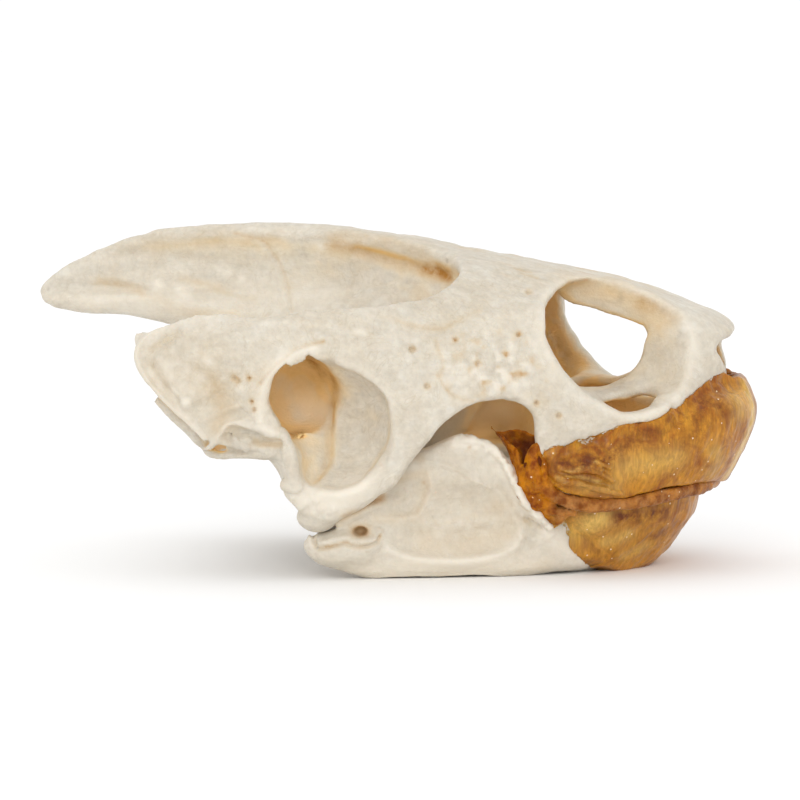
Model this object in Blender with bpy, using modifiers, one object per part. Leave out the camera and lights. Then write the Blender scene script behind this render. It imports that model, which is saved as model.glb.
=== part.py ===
"""Pond turtle skull with its horny beaks, standing on its lower jaw.

Four pieces: the cranium, the mandible, and the two beak sheaths that cover their front ends.
Frame: +X to the snout, +Y to the animal's left, +Z up. The origin is on the ground below the
middle of the skull's box. Every size below is in millimetres: an empty named skull scales them
to metres. The right half of each piece is modelled and mirrored at the plane Y = 0, so a place
is written as (x, w, z), where w is the distance out from that plane.
"""

import math

import bmesh
import bpy
import numpy as np
from mathutils import Matrix, Vector

# Driving sizes. BEAK_GAP is the room between horn and bone, and its bed is cut BED_INSET deeper.
MILLIMETRE = 0.001
BONE = 1.2
THIN_BONE = 0.9
BEAK_HORN = 0.9
BEAK_GAP = 0.36
BED_SLACK = 2.2
BED_INSET = 0.12
PAST_MIDLINE = 0.6
GRAIN = 0.35
ROUNDING_STEPS = 3

BONE_COLOUR = (0.80, 0.74, 0.64, 1.0)
HORN_COLOUR = (0.45, 0.22, 0.06, 1.0)


def clear_scene():
    for old in list(bpy.data.objects):
        bpy.data.objects.remove(old)


def new_collection(name, hidden=False):
    collection = bpy.data.collections.new(name)
    bpy.context.scene.collection.children.link(collection)
    collection.hide_render = hidden
    return collection


def place(x, w, z):
    """A point on the right half, w out from the middle plane."""
    return (x, -w, z)


def through(points, per_span=6, closed=False):
    """A smooth line, or a smooth row of lines, through the given ones (Catmull-Rom)."""
    given = np.array(points, float)
    count = len(given)
    line = []
    for i in range(count if closed else count - 1):
        b = given[i]
        c = given[(i + 1) % count]
        a = given[i - 1] if i or closed else 2 * b - c
        d = given[(i + 2) % count] if closed or i + 2 < count else 2 * c - b
        for t in np.arange(per_span) / per_span:
            line.append(
                0.5 * (2 * b + (c - a) * t + (2 * a - 5 * b + 4 * c - d) * t**2)
                + 0.5 * (3 * b - a - 3 * c + d) * t**3
            )
    if not closed:
        line.append(given[-1])
    return np.array(line)


def add_mesh(name, points, faces):
    mesh = bpy.data.meshes.new(name)
    mesh.from_pydata([tuple(p) for p in points], [], faces)
    obj = bpy.data.objects.new(name, mesh)
    workshop.objects.link(obj)
    return obj


def loft(name, rings, per_ring=3, per_point=3):
    """A closed solid through closed rings of points, with flat ends."""
    grid = through(rings, per_ring)
    grid = np.array([through(ring, per_point, closed=True) for ring in grid])
    count = grid.shape[1]
    faces = [
        (
            r * count + i,
            r * count + (i + 1) % count,
            (r + 1) * count + (i + 1) % count,
            (r + 1) * count + i,
        )
        for r in range(len(grid) - 1)
        for i in range(count)
    ]
    faces.append(tuple(reversed(range(count))))
    faces.append(tuple((len(grid) - 1) * count + i for i in range(count)))
    obj = add_mesh(name, grid.reshape(-1, 3), faces)
    face_outwards(obj)
    return obj


def face_outwards(obj):
    work = bmesh.new()
    work.from_mesh(obj.data)
    bmesh.ops.recalc_face_normals(work, faces=work.faces)
    work.to_mesh(obj.data)
    work.free()


def sheet(name, lines, thickness, offset=0.0, per_line=3, per_point=4):
    """A curved plate: a surface through the lines, made solid on both sides of it or, by offset, on one."""
    grid = through(lines, per_line)
    grid = np.array([through(line, per_point) for line in grid])
    count = grid.shape[1]
    faces = [
        (r * count + i, r * count + i + 1, (r + 1) * count + i + 1, (r + 1) * count + i)
        for r in range(len(grid) - 1)
        for i in range(count - 1)
    ]
    obj = add_mesh(name, grid.reshape(-1, 3), faces)
    wall = obj.modifiers.new("bone thickness", "SOLIDIFY")
    wall.thickness = thickness
    wall.offset = offset
    return obj


def tube(name, points, radii):
    """A round bar of bone along a smooth line, with its own radius at each point."""
    curve = bpy.data.curves.new(name, "CURVE")
    curve.dimensions = "3D"
    curve.bevel_depth = 1.0
    curve.bevel_resolution = 3
    curve.use_fill_caps = True
    line = through([(*place(*p), r) for p, r in zip(points, radii)], 4)
    spline = curve.splines.new("POLY")
    spline.points.add(len(line) - 1)
    for point, (x, y, z, radius) in zip(spline.points, line):
        point.co = (x, y, z, 1.0)
        point.radius = radius
    obj = bpy.data.objects.new(name, curve)
    workshop.objects.link(obj)
    return obj


def blob(name, centre, radii, turn=(0.0, 0.0, 0.0)):
    """An egg-shaped lump of bone, or a cutter of that shape."""
    mesh = bpy.data.meshes.new(name)
    work = bmesh.new()
    bmesh.ops.create_icosphere(work, subdivisions=4, radius=1.0)
    work.to_mesh(mesh)
    work.free()
    obj = bpy.data.objects.new(name, mesh)
    obj.location = place(*centre)
    obj.rotation_euler = [math.radians(a) for a in turn]
    obj.scale = radii
    workshop.objects.link(obj)
    return obj


def prism(name, outline, low, high, view):
    """A smooth outline pushed through the skull, in (x, z) from the side or (x, w) from the top."""
    curve = bpy.data.curves.new(name, "CURVE")
    curve.dimensions = "2D"
    curve.fill_mode = "BOTH"
    curve.extrude = (high - low) / 2
    curve.resolution_u = 6
    spline = curve.splines.new("BEZIER")
    spline.bezier_points.add(len(outline) - 1)
    spline.use_cyclic_u = True
    for point, (a, b) in zip(spline.bezier_points, outline):
        point.co = (a, b, 0.0)
        point.handle_left_type = point.handle_right_type = "AUTO"
    obj = bpy.data.objects.new(name, curve)
    workshop.objects.link(obj)
    middle = (low + high) / 2
    if view == "side":
        obj.matrix_world = Matrix(((1, 0, 0, 0), (0, 0, -1, -middle), (0, 1, 0, 0), (0, 0, 0, 1)))
    else:
        obj.matrix_world = Matrix(((1, 0, 0, 0), (0, -1, 0, 0), (0, 0, 1, middle), (0, 0, 0, 1)))
    return as_mesh(obj)


def as_mesh(obj):
    """The object with its modifiers and its place worked into one mesh."""
    bpy.context.view_layer.update()
    graph = bpy.context.evaluated_depsgraph_get()
    mesh = bpy.data.meshes.new_from_object(obj.evaluated_get(graph))
    mesh.transform(obj.matrix_world)
    work = bmesh.new()
    work.from_mesh(mesh)
    bmesh.ops.remove_doubles(work, verts=work.verts, dist=0.001)
    bmesh.ops.recalc_face_normals(work, faces=work.faces)
    work.to_mesh(mesh)
    work.free()
    made = bpy.data.objects.new(obj.name, mesh)
    workshop.objects.link(made)
    bpy.data.objects.remove(obj)
    return made


def cut(obj, cutter, operation="DIFFERENCE", folded=False):
    """Cuts the object with another, which is used up. A folded one runs into itself."""
    boolean = obj.modifiers.new(cutter.name, "BOOLEAN")
    boolean.operation = operation
    boolean.object = cutter
    boolean.use_self = folded
    obj = as_mesh(obj)
    bpy.data.objects.remove(cutter)
    return obj


def keep(obj, cutter, folded=False):
    """Leaves only what lies inside the cutter."""
    return cut(obj, cutter, "INTERSECT", folded)


def join(name, pieces):
    """Overlapping pieces as one mesh, still to be fused."""
    work = bmesh.new()
    for piece in pieces:
        solid = as_mesh(piece)
        work.from_mesh(solid.data)
        bpy.data.objects.remove(solid)
    mesh = bpy.data.meshes.new(name)
    work.to_mesh(mesh)
    work.free()
    obj = bpy.data.objects.new(name, mesh)
    workshop.objects.link(obj)
    return obj


def grow_together(obj, rounding=ROUNDING_STEPS):
    """Fuses overlapping solids into one skin and rounds the edges between them."""
    fuse = obj.modifiers.new("fuse", "REMESH")
    fuse.mode = "VOXEL"
    fuse.voxel_size = GRAIN
    soften = obj.modifiers.new("soften", "SMOOTH")
    soften.factor = 0.5
    soften.iterations = rounding
    return as_mesh(obj)


def finish(obj, name, colour, triangles, cutter=None):
    """Mirrors the half piece, thins out its triangles and hangs it on the skull's empty."""
    mirror = obj.modifiers.new("left half", "MIRROR")
    mirror.use_axis = (False, True, False)
    mirror.use_bisect_axis = (False, True, False)
    mirror.use_bisect_flip_axis = (False, True, False)
    mirror.merge_threshold = 0.0001
    whole = as_mesh(obj)
    sides = sum(len(face.vertices) - 2 for face in whole.data.polygons)
    thin = whole.modifiers.new("fewer triangles", "DECIMATE")
    thin.ratio = min(1.0, triangles / sides)
    piece = as_mesh(whole)
    if cutter:
        piece = cut(piece, cutter)
    piece.name = name
    piece.data.shade_smooth()
    material = bpy.data.materials.new(name + " surface")
    material.use_nodes = True
    shader = material.node_tree.nodes["Principled BSDF"]
    shader.inputs["Base Color"].default_value = colour
    shader.inputs["Roughness"].default_value = 0.55
    shader.inputs["Metallic"].default_value = 0.0
    piece.data.materials.append(material)
    workshop.objects.unlink(piece)
    parts.objects.link(piece)
    piece.parent = skull
    return piece


def half_ring(x, side):
    """A closed ring across the middle plane at x, from the (w, z) points of its right side."""
    right = [place(x, w, z) for w, z in side]
    left = [place(x, -w, z) for w, z in side if w > 0]
    return right + left[::-1]


# The vault: the skull roof, cheeks and snout sides, as one sheet of dermal bone.
# Each line runs from the middle of the roof over the shoulder and down the side, as (w, z).
VAULT = {
    25.9: ((0, 18.1), (1.4, 18.0), (2.6, 17.5), (3.2, 16.8), (2.8, 15.8), (2.0, 14.6)),
    24.4: ((0, 19.1), (2.1, 18.9), (3.8, 18.2), (4.6, 17.0), (4.4, 15.0), (4.4, 12.0)),
    22.3: ((0, 19.9), (2.6, 19.8), (4.6, 19.1), (6.0, 17.3), (6.6, 14.6), (6.8, 11.5)),
    20.0: ((0, 20.6), (2.8, 20.6), (5.0, 20.4), (7.1, 18.0), (8.5, 14.5), (8.7, 11.0)),
    17.0: ((0, 21.7), (2.8, 21.8), (5.0, 21.6), (8.2, 18.5), (10.4, 14.0), (10.8, 10.0)),
    14.5: ((0, 22.2), (3.0, 22.3), (6.0, 21.8), (9.8, 18.8), (11.6, 14.5), (11.8, 9.5)),
    12.0: ((0, 22.7), (3.5, 22.6), (7.6, 21.8), (11.2, 18.8), (12.6, 14.5), (12.5, 8.5)),
    9.0: ((0, 23.3), (4.0, 23.1), (8.6, 21.8), (12.4, 18.8), (14.0, 14.5), (13.8, 8.0)),
    5.0: ((0, 24.0), (4.0, 23.9), (9.0, 22.9), (13.2, 19.8), (15.4, 14.5), (15.2, 7.5)),
    1.0: ((0, 25.0), (5.0, 24.4), (10.8, 22.8), (15.0, 20.2), (16.8, 14.5), (16.2, 7.0)),
    -3.6: ((0, 25.5), (6.0, 24.6), (12.3, 22.8), (16.0, 20.4), (17.5, 14.5), (16.3, 4.0)),
    -8.0: ((0, 25.7), (7.0, 24.5), (13.0, 22.5), (16.4, 20.1), (17.6, 14.5), (16.4, 6.5)),
    -12.0: ((0, 25.5), (7.0, 24.2), (12.8, 22.4), (16.1, 20.2), (17.2, 15.0), (16.0, 9.0)),
    -15.0: ((0, 25.2), (7.0, 24.0), (12.2, 21.8), (15.2, 19.6), (16.2, 15.5), (15.4, 11.5)),
    -19.0: ((0, 24.6), (6.0, 22.8), (10.4, 20.6), (13.4, 17.8), (14.2, 15.8), (13.9, 14.2)),
}

# The side of the cranium as seen from the right, in (x, z), round its open edges:
# snout and nostril, then back over the top, the squamosal, the quadrate, the cheek notch, the maxilla.
SIDE_OUTLINE = (
    (25.1, 15.4), (24.5, 16.4), (24.7, 17.3), (25.8, 17.6),
    (26.3, 18.2), (25.4, 20.5), (14.0, 30.0), (-12.0, 30.0),
    (-20.0, 24.0), (-18.4, 17.3), (-18.1, 16.0), (-16.8, 14.0), (-14.4, 12.0), (-12.4, 10.2),
    (-10.4, 9.6), (-7.6, 9.5), (-6.7, 8.8), (-6.7, 7.6), (-7.0, 6.9), (-5.8, 5.3), (-4.7, 4.0),
    (-3.6, 4.0), (-2.3, 5.2), (-0.6, 6.0), (1.2, 6.9), (2.0, 8.3), (3.6, 10.2), (5.8, 12.4),
    (8.4, 13.5), (10.6, 13.0), (11.8, 11.3), (12.0, 9.2),
    (12.8, 7.8), (16.0, 6.9), (21.0, 7.2), (25.2, 7.0),
    (26.6, 10.0), (26.6, 13.4),
)

# The openings of the vault
ORBIT = (
    (11.8, 19.4), (12.7, 21.2), (14.9, 21.9), (17.2, 21.6), (19.6, 20.7), (21.8, 19.3), (22.7, 17.6),
    (22.5, 15.4), (21.4, 13.5), (19.6, 12.2), (17.6, 12.3), (15.8, 13.5), (13.7, 15.0), (12.3, 16.9),
)
TEMPORAL_NOTCH = (
    (5.4, 8.8), (4.8, 6.4), (3.2, 4.4), (0.4, 3.0), (-2.8, 2.2),
    (-8.0, 1.5), (-16.0, 1.1), (-23.0, 1.6), (-23.0, 9.0),
    (-18.6, 12.8), (-15.0, 15.0), (-11.0, 16.0), (-6.0, 16.1), (-2.0, 15.4), (1.6, 13.8), (4.4, 11.2),
)


def vault():
    lines = []
    for x, side in VAULT.items():
        w0, z0 = side[0]
        lines.append([place(x, w0 - PAST_MIDLINE, z0)] + [place(x, w, z) for w, z in side])
    shell = sheet("vault", lines, BONE, offset=1.0)
    shell = keep(as_mesh(shell), prism("side trim", SIDE_OUTLINE, -4.0, 24.0, "side"))
    shell = cut(shell, prism("orbit", ORBIT, 3.6, 24.0, "side"))
    return cut(shell, prism("temporal notch", TEMPORAL_NOTCH, 8.0, 30.0, "top"))


# The crest behind the skull: lines of (x, top z, top w, middle w, bottom z, bottom w)
CREST = (
    (4.0, 24.0, 2.6, 2.8, 17.0, 4.6),
    (-2.0, 25.4, 2.0, 1.7, 17.0, 4.6),
    (-7.0, 25.8, 1.3, 1.0, 16.6, 3.4),
    (-12.0, 25.9, 1.0, 0.8, 16.4, 2.0),
    (-16.0, 25.7, 0.9, 0.7, 17.4, 1.2),
    (-20.0, 25.1, 0.8, 0.6, 18.5, 1.2),
    (-24.0, 23.6, 0.7, 0.6, 18.9, 0.9),
    (-26.6, 22.2, 0.6, 0.6, 19.3, 0.7),
    (-28.0, 20.9, 0.5, 0.5, 19.7, 0.5),
)


def crest():
    rings = []
    for x, top, top_w, middle_w, bottom, bottom_w in CREST:
        tall = top - bottom
        rings.append(
            half_ring(
                x,
                (
                    (0, top),
                    (top_w, top - 0.10 * tall),
                    (middle_w, top - 0.40 * tall),
                    (middle_w * 1.1, top - 0.65 * tall),
                    (bottom_w, top - 0.90 * tall),
                    (0, bottom),
                ),
            )
        )
    return loft("crest", rings)


# The braincase: rings of (w, z) from the middle of its roof to the middle of its floor
BRAINCASE = {
    10.2: ((0, 22.8), (3.3, 22.2), (4.4, 19.0), (4.6, 14.5), (4.4, 11.5), (3.2, 9.6), (0, 9.2)),
    8.0: ((0, 23.0), (3.5, 22.4), (4.8, 19.0), (4.8, 14.5), (4.4, 11.5), (3.0, 9.6), (0, 9.2)),
    4.0: ((0, 23.6), (3.5, 22.6), (4.6, 19.0), (5.0, 15.0), (5.0, 11.5), (3.6, 9.2), (0, 8.8)),
    0.0: ((0, 24.0), (2.2, 22.0), (3.4, 19.6), (5.4, 16.8), (6.0, 12.5), (4.6, 9.0), (0, 8.5)),
    -4.0: ((0, 22.0), (1.8, 20.6), (3.2, 18.8), (6.2, 16.6), (7.0, 12.5), (5.2, 9.0), (0, 8.4)),
    -8.0: ((0, 20.4), (1.4, 19.2), (2.8, 17.8), (6.2, 16.0), (7.0, 12.5), (5.4, 9.0), (0, 8.5)),
    -11.5: ((0, 18.0), (1.3, 17.2), (2.8, 16.2), (5.2, 14.6), (5.6, 12.4), (4.4, 9.4), (0, 8.8)),
    -13.4: ((0, 16.6), (1.1, 16.0), (2.3, 15.2), (3.4, 13.8), (3.6, 12.2), (2.8, 9.8), (0, 9.2)),
}


BRAIN_AXIS = 12.6


def braincase():
    case = loft("braincase", [half_ring(x, side) for x, side in BRAINCASE.items()])
    rings = []
    for x, r in ((14.0, 2.6), (4.0, 2.6), (-4.0, 2.6), (-10.0, 2.2), (-16.0, 2.0)):
        side = ((0, 1.2 * r), (0.8 * r, 0.9 * r), (r, 0), (0.7 * r, -r), (0, -r))
        rings.append(half_ring(x, [(w, BRAIN_AXIS + up) for w, up in side]))
    return cut(case, loft("brain cavity", rings))


# The ear region: quadrate, opisthotic and squamosal as one block that carries the eardrum's bowl
EAR_BLOCK = {
    1.8: ((15.6, 17.0), (16.6, 12.0), (16.0, 8.2), (14.6, 8.6), (14.0, 12.0), (14.4, 16.0)),
    0.0: ((14.8, 18.0), (16.9, 12.0), (15.8, 6.6), (14.6, 7.2), (13.4, 12.0), (12.2, 16.6)),
    -2.2: ((14.8, 18.4), (17.2, 12.0), (15.6, 5.0), (11.2, 6.2), (5.0, 11.0), (5.0, 16.8)),
    -4.6: ((14.8, 18.4), (17.3, 12.4), (15.4, 4.6), (11.2, 5.4), (5.0, 10.2), (5.0, 16.8)),
    -6.4: ((14.8, 18.4), (17.2, 13.2), (15.6, 6.8), (11.4, 7.6), (5.0, 10.0), (5.0, 16.6)),
    -8.2: ((14.8, 18.2), (17.1, 13.9), (15.7, 9.5), (10.4, 9.4), (5.0, 10.2), (5.0, 16.2)),
    -11.0: ((14.2, 18.0), (16.7, 14.6), (15.6, 10.2), (10.0, 9.3), (5.6, 10.6), (5.0, 15.2)),
    -13.4: ((13.6, 17.6), (16.1, 15.2), (15.4, 11.4), (11.6, 10.8), (9.0, 10.4), (9.4, 14.8)),
    -14.6: ((13.2, 17.4), (15.6, 16.0), (15.2, 12.6), (13.4, 12.6), (12.2, 14.0), (12.2, 16.0)),
    -16.8: ((13.4, 17.2), (14.9, 16.2), (14.7, 14.8), (14.0, 14.8), (13.2, 15.6), (12.9, 16.6)),
}
EAR_BOWL = (
    (-4.4, 16.6), (-2.6, 16.3), (-0.6, 15.2), (1.0, 13.7),
    (1.5, 11.6), (1.1, 9.6), (-0.4, 7.7), (-2.2, 6.8),
    (-4.4, 6.6), (-5.2, 7.4), (-5.6, 9.6), (-6.6, 10.9), (-7.8, 11.8), (-7.8, 13.8), (-6.6, 15.6),
)


def ear_region():
    rings = [[place(x, w, z) for w, z in ring] for x, ring in EAR_BLOCK.items()]
    block = loft("ear block", rings, per_point=4)
    condyle = blob("jaw condyle", (-4.3, 13.4, 5.5), (1.8, 3.0, 1.55))
    rear_bar = tube(
        "ear rim bar",
        ((-7.0, 16.0, 11.0), (-6.2, 16.4, 9.6), (-6.0, 16.3, 7.8), (-5.8, 15.8, 6.4)),
        (0.7, 0.8, 0.8, 0.9),
    )
    knob = blob("condyle knob", (-6.4, 15.6, 7.1), (0.75, 0.8, 0.6))
    wing = tube(
        "opisthotic wing",
        ((-11.6, 4.4, 11.0), (-12.6, 6.8, 10.4), (-13.2, 9.4, 9.9), (-11.8, 12.0, 9.9)),
        (1.2, 1.1, 1.2, 1.0),
    )
    bridge = tube(
        "pterygoid bridge",
        ((2.4, 4.2, 9.6), (-0.6, 7.0, 9.2), (-3.4, 11.2, 8.2)),
        (1.2, 1.1, 1.2),
    )
    return [block, condyle, rear_bar, knob, wing, bridge]


def ear_cutters():
    bowl = blob("ear bowl", (-2.6, 18.6, 11.6), (4.9, 5.4, 5.4))
    bowl = keep(as_mesh(bowl), prism("bowl rim", EAR_BOWL, 10.0, 26.0, "side"))
    pocket = blob("ear pocket", (-6.0, 13.9, 13.7), (3.2, 3.3, 3.0), (0, 12, 0))
    antrum = blob("ear antrum", (-10.4, 13.9, 14.2), (4.0, 1.7, 1.9), (0, 8, 0))
    hollow = blob("hollow under the ear", (-8.0, 9.6, 8.0), (4.6, 2.9, 4.2), (0, 0, -10))
    return [bowl, as_mesh(pocket), as_mesh(antrum), as_mesh(hollow)]


# The palate and the bones under the braincase, seen from above in (x, w)
PALATE = (
    (25.0, -1.0), (25.4, 2.0), (23.0, 6.0), (19.0, 8.8), (15.0, 10.4), (12.6, 10.8), (11.0, 9.4),
    (8.4, 6.4), (4.0, 4.6), (-1.0, 4.8), (-5.0, 6.0), (-9.0, 5.6), (-12.4, 4.0), (-13.6, 1.6),
    (-13.6, -1.0),
)
CHOANA = ((17.4, 2.0), (16.2, 3.4), (12.6, 3.4), (11.4, 2.0), (12.6, 0.9), (16.2, 0.9))
PALATE_LOW = 8.6
PALATE_HIGH = 9.8


def palate():
    plate = prism("palate", PALATE, PALATE_LOW, PALATE_HIGH, "top")
    plate = cut(plate, prism("choana", CHOANA, 0.0, 20.0, "top"))
    condyle = blob("occipital condyle", (-14.6, 0.0, 10.2), (1.5, 1.3, 1.2))
    flange = tube("pterygoid flange", ((11.6, 8.2, 9.0), (9.0, 7.0, 9.0), (6.0, 5.2, 9.2)), (1.0, 1.0, 0.9))
    return [plate, condyle, flange]


# The walls inside the eye socket, and the one that closes the front of the temporal fossa.
# The outline of the hole in the socket's floor is seen from above, in (x, w).
FLOOR_HOLE = (
    (16.0, 10.4), (16.5, 8.2), (18.0, 6.5), (19.3, 5.6), (19.9, 6.4), (19.7, 8.2), (18.8, 10.0), (17.4, 11.0),
)


def inner_wall(name, lines):
    """A thin plate through lines of (x, w, z)."""
    return sheet(name, [[place(*point) for point in line] for line in lines], THIN_BONE)


def socket_walls():
    front = inner_wall(
        "socket front wall",
        (
            ((22.4, 4.4, 19.2), (22.9, 5.4, 17.4), (22.6, 6.2, 15.0), (21.6, 7.2, 12.8)),
            ((21.0, 3.8, 20.2), (21.4, 4.4, 17.6), (21.0, 5.0, 15.0), (20.2, 5.8, 13.0)),
            ((18.8, 3.2, 20.8), (19.1, 3.4, 17.6), (18.4, 3.8, 15.6), (17.4, 4.4, 14.0)),
        ),
    )
    floor = inner_wall(
        "socket floor",
        (
            ((21.6, 9.4, 12.3), (20.6, 6.8, 13.4), (19.6, 3.6, 14.4)),
            ((19.6, 10.4, 11.5), (18.4, 7.4, 13.0), (17.4, 3.6, 13.8)),
            ((16.8, 11.2, 12.1), (16.2, 8.0, 13.1), (15.6, 4.4, 13.5)),
            ((14.0, 12.0, 14.0), (13.8, 9.4, 13.7), (13.6, 6.4, 13.5)),
        ),
    )
    floor = cut(as_mesh(floor), prism("socket floor hole", FLOOR_HOLE, 8.0, 16.0, "top"))
    ridge = inner_wall(
        "ridge under the roof",
        (
            ((12.0, 3.6, 22.4), (12.2, 3.3, 21.2), (12.6, 3.0, 20.2)),
            ((15.0, 3.4, 22.2), (15.2, 3.1, 20.8), (15.4, 2.9, 19.4)),
            ((18.0, 3.4, 21.4), (18.2, 3.2, 20.0), (18.4, 3.2, 18.4)),
            ((20.4, 3.8, 20.6), (20.4, 3.8, 19.0), (20.2, 3.8, 17.0)),
        ),
    )
    behind = inner_wall(
        "wall behind the socket",
        (
            ((12.0, 12.2, 9.4), (12.2, 12.0, 11.6), (12.8, 11.8, 14.2)),
            ((12.4, 9.8, 9.2), (12.8, 9.8, 11.6), (13.4, 9.6, 14.0)),
            ((11.6, 6.8, 9.2), (12.6, 7.0, 11.6), (13.6, 6.6, 14.0)),
            ((10.0, 4.4, 9.2), (10.4, 4.4, 11.4), (10.6, 4.4, 13.6)),
        ),
    )
    fossa = inner_wall(
        "fossa front wall",
        (
            ((0.0, 1.4, 24.0), (0.0, 2.2, 20.5), (0.0, 3.4, 17.0)),
            ((4.2, 4.2, 23.6), (4.2, 4.6, 20.5), (4.2, 5.0, 17.0)),
            ((7.2, 7.2, 22.8), (6.8, 6.8, 20.5), (6.2, 6.4, 17.6)),
            ((8.4, 10.0, 21.6), (8.0, 9.4, 19.6), (7.2, 8.4, 17.6)),
        ),
    )
    rear = tube(
        "postorbital rim",
        ((11.3, 10.4, 20.4), (11.3, 11.1, 18.4), (12.2, 11.2, 16.0), (13.9, 11.0, 14.0)),
        (0.7, 0.8, 0.8, 0.7),
    )
    return [front, floor, ridge, behind, fossa, rear]


# The muzzle: the U-shaped wall of the maxillae and premaxillae, in lines of (x, w) at each height
MUZZLE = {
    14.2: ((25.4, 0), (25.1, 2.4), (24.0, 4.8), (21.6, 7.4), (18.2, 9.6), (14.6, 11.2), (11.5, 12.3)),
    12.0: ((26.3, 0), (25.7, 2.6), (24.4, 5.1), (21.7, 7.8), (18.2, 9.9), (14.6, 11.5), (11.5, 12.5)),
    10.0: ((25.8, 0), (25.2, 2.6), (24.0, 5.1), (21.5, 7.8), (18.2, 9.9), (14.6, 11.5), (11.5, 12.5)),
    8.0: ((24.8, 0), (24.3, 2.5), (23.2, 4.8), (20.9, 7.4), (18.0, 9.5), (14.6, 11.2), (11.5, 12.2)),
    6.6: ((24.0, 0), (23.5, 2.4), (22.5, 4.5), (20.4, 7.0), (17.8, 9.1), (14.6, 10.9), (11.5, 11.9)),
}


def moved_out(line, distance, closed=False):
    """A flat line moved to its right by a distance, which is outwards on one drawn anticlockwise."""
    line = np.array(line, float)
    if closed:
        along = np.roll(line, -1, axis=0) - np.roll(line, 1, axis=0)
    else:
        along = np.gradient(line, axis=0)
    along /= np.linalg.norm(along, axis=1)[:, None]
    return line + distance * np.stack([along[:, 1], -along[:, 0]], axis=1)


def outline_wall(levels, out=0.0):
    """The lines of a U-shaped wall, moved outwards by the given distance."""
    lines = []
    for z, line in levels.items():
        past = [(line[0][0], -PAST_MIDLINE)] + list(line)
        lines.append([place(x, w, z) for x, w in moved_out(past, out)])
    return lines


def beak_bed(levels, side):
    """A cutter that makes room for a beak on its bone, with a gap all round."""
    depth = BEAK_HORN + BED_SLACK
    bed = sheet("beak bed", outline_wall(levels, depth / 2 - BED_INSET), depth)
    room = prism("beak room", moved_out(side, BEAK_GAP + BED_INSET, closed=True), -4.0, 24.0, "side")
    return keep(as_mesh(bed), room, folded=True)


def muzzle():
    wall = sheet("muzzle", outline_wall(MUZZLE, -BONE / 2), BONE)
    return cut(as_mesh(wall), prism("orbit", ORBIT, 3.6, 24.0, "side"))


# The upper beak seen from the side, in (x, z): the sheath over the front of the upper jaw
UPPER_BEAK = {16.0: MUZZLE[14.2]} | MUZZLE | {5.4: MUZZLE[6.6]}
UPPER_BEAK_SIDE = (
    (29.0, 12.4), (27.0, 14.0), (25.7, 14.7), (24.3, 14.2), (22.4, 12.6), (20.4, 11.4), (17.6, 10.9),
    (15.0, 10.2), (12.7, 9.4), (11.7, 8.4), (12.7, 7.0), (15.4, 6.1), (17.6, 5.8), (20.4, 6.3), (23.0, 6.6),
    (25.2, 6.2), (29.0, 6.0),
)


def cranium():
    solids = [vault(), crest(), braincase(), muzzle(), *ear_region(), *palate(), *socket_walls()]
    bone = grow_together(join("cranium", solids))
    for cutter in (*ear_cutters(), beak_bed(UPPER_BEAK, UPPER_BEAK_SIDE)):
        bone = cut(bone, cutter)
    bone = grow_together(bone)
    return finish(bone, "cranium", BONE_COLOUR, 5600)


# The outer face of the mandible's bone: lines of (x, w) from the chin to the jaw joint, at each height
JAW = {
    -1.0: (
        (15.6, 0), (15.2, 2.0), (14.2, 4.2), (12.4, 6.2), (10.0, 8.0),
        (7.0, 9.6), (3.0, 11.0), (-2.0, 12.2), (-6.4, 13.2),
    ),
    1.0: (
        (18.9, 0), (18.5, 2.4), (17.2, 4.8), (14.8, 7.2), (12.0, 9.0),
        (8.6, 10.6), (4.2, 12.0), (-1.0, 13.3), (-6.4, 14.6),
    ),
    3.0: (
        (20.7, 0), (20.3, 2.5), (18.9, 5.0), (16.3, 7.5), (13.0, 9.5),
        (9.2, 11.1), (4.6, 12.4), (-0.8, 13.7), (-6.4, 14.9),
    ),
    5.0: (
        (21.8, 0), (21.4, 2.6), (19.9, 5.2), (17.0, 7.8), (13.6, 9.8),
        (9.6, 11.4), (4.8, 12.7), (-0.6, 13.9), (-6.4, 15.0),
    ),
    11.0: (
        (22.4, 0), (22.0, 2.6), (20.4, 5.3), (17.4, 8.0), (14.0, 10.0),
        (9.8, 11.6), (5.0, 12.9), (-0.5, 14.1), (-6.4, 15.2),
    ),
}
RAMUS_THICK = 1.8

# The mandible seen from the side, in (x, z). What comes below GROUND is cut off flat.
GROUND = 0.0
MANDIBLE_SIDE = (
    (-5.9, 2.7), (-4.6, 1.4), (-2.8, 0.5), (-0.6, -0.2), (2.4, -0.4),
    (8.0, -0.4), (13.0, -0.1), (17.0, -0.2), (19.6, 1.0),
    (22.0, 3.0), (22.4, 4.6), (20.0, 5.2), (16.0, 5.4), (12.6, 5.8), (10.6, 7.4), (9.0, 9.0), (7.0, 10.4),
    (5.4, 10.7), (3.8, 9.9), (2.2, 9.2), (0.6, 8.0), (-0.6, 6.4), (-1.9, 4.8), (-3.2, 3.6), (-4.6, 3.3),
)

# The lower beak seen from the side, in (x, z)
LOWER_BEAK_SIDE = (
    (26.0, 2.0), (26.0, 6.2), (22.0, 6.2), (18.0, 6.0), (14.6, 6.2),
    (12.8, 6.0), (12.9, 4.8), (13.8, 3.6), (14.3, 2.4),
    (15.6, 1.2), (17.6, 0.2), (21.0, 0.2),
)


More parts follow.
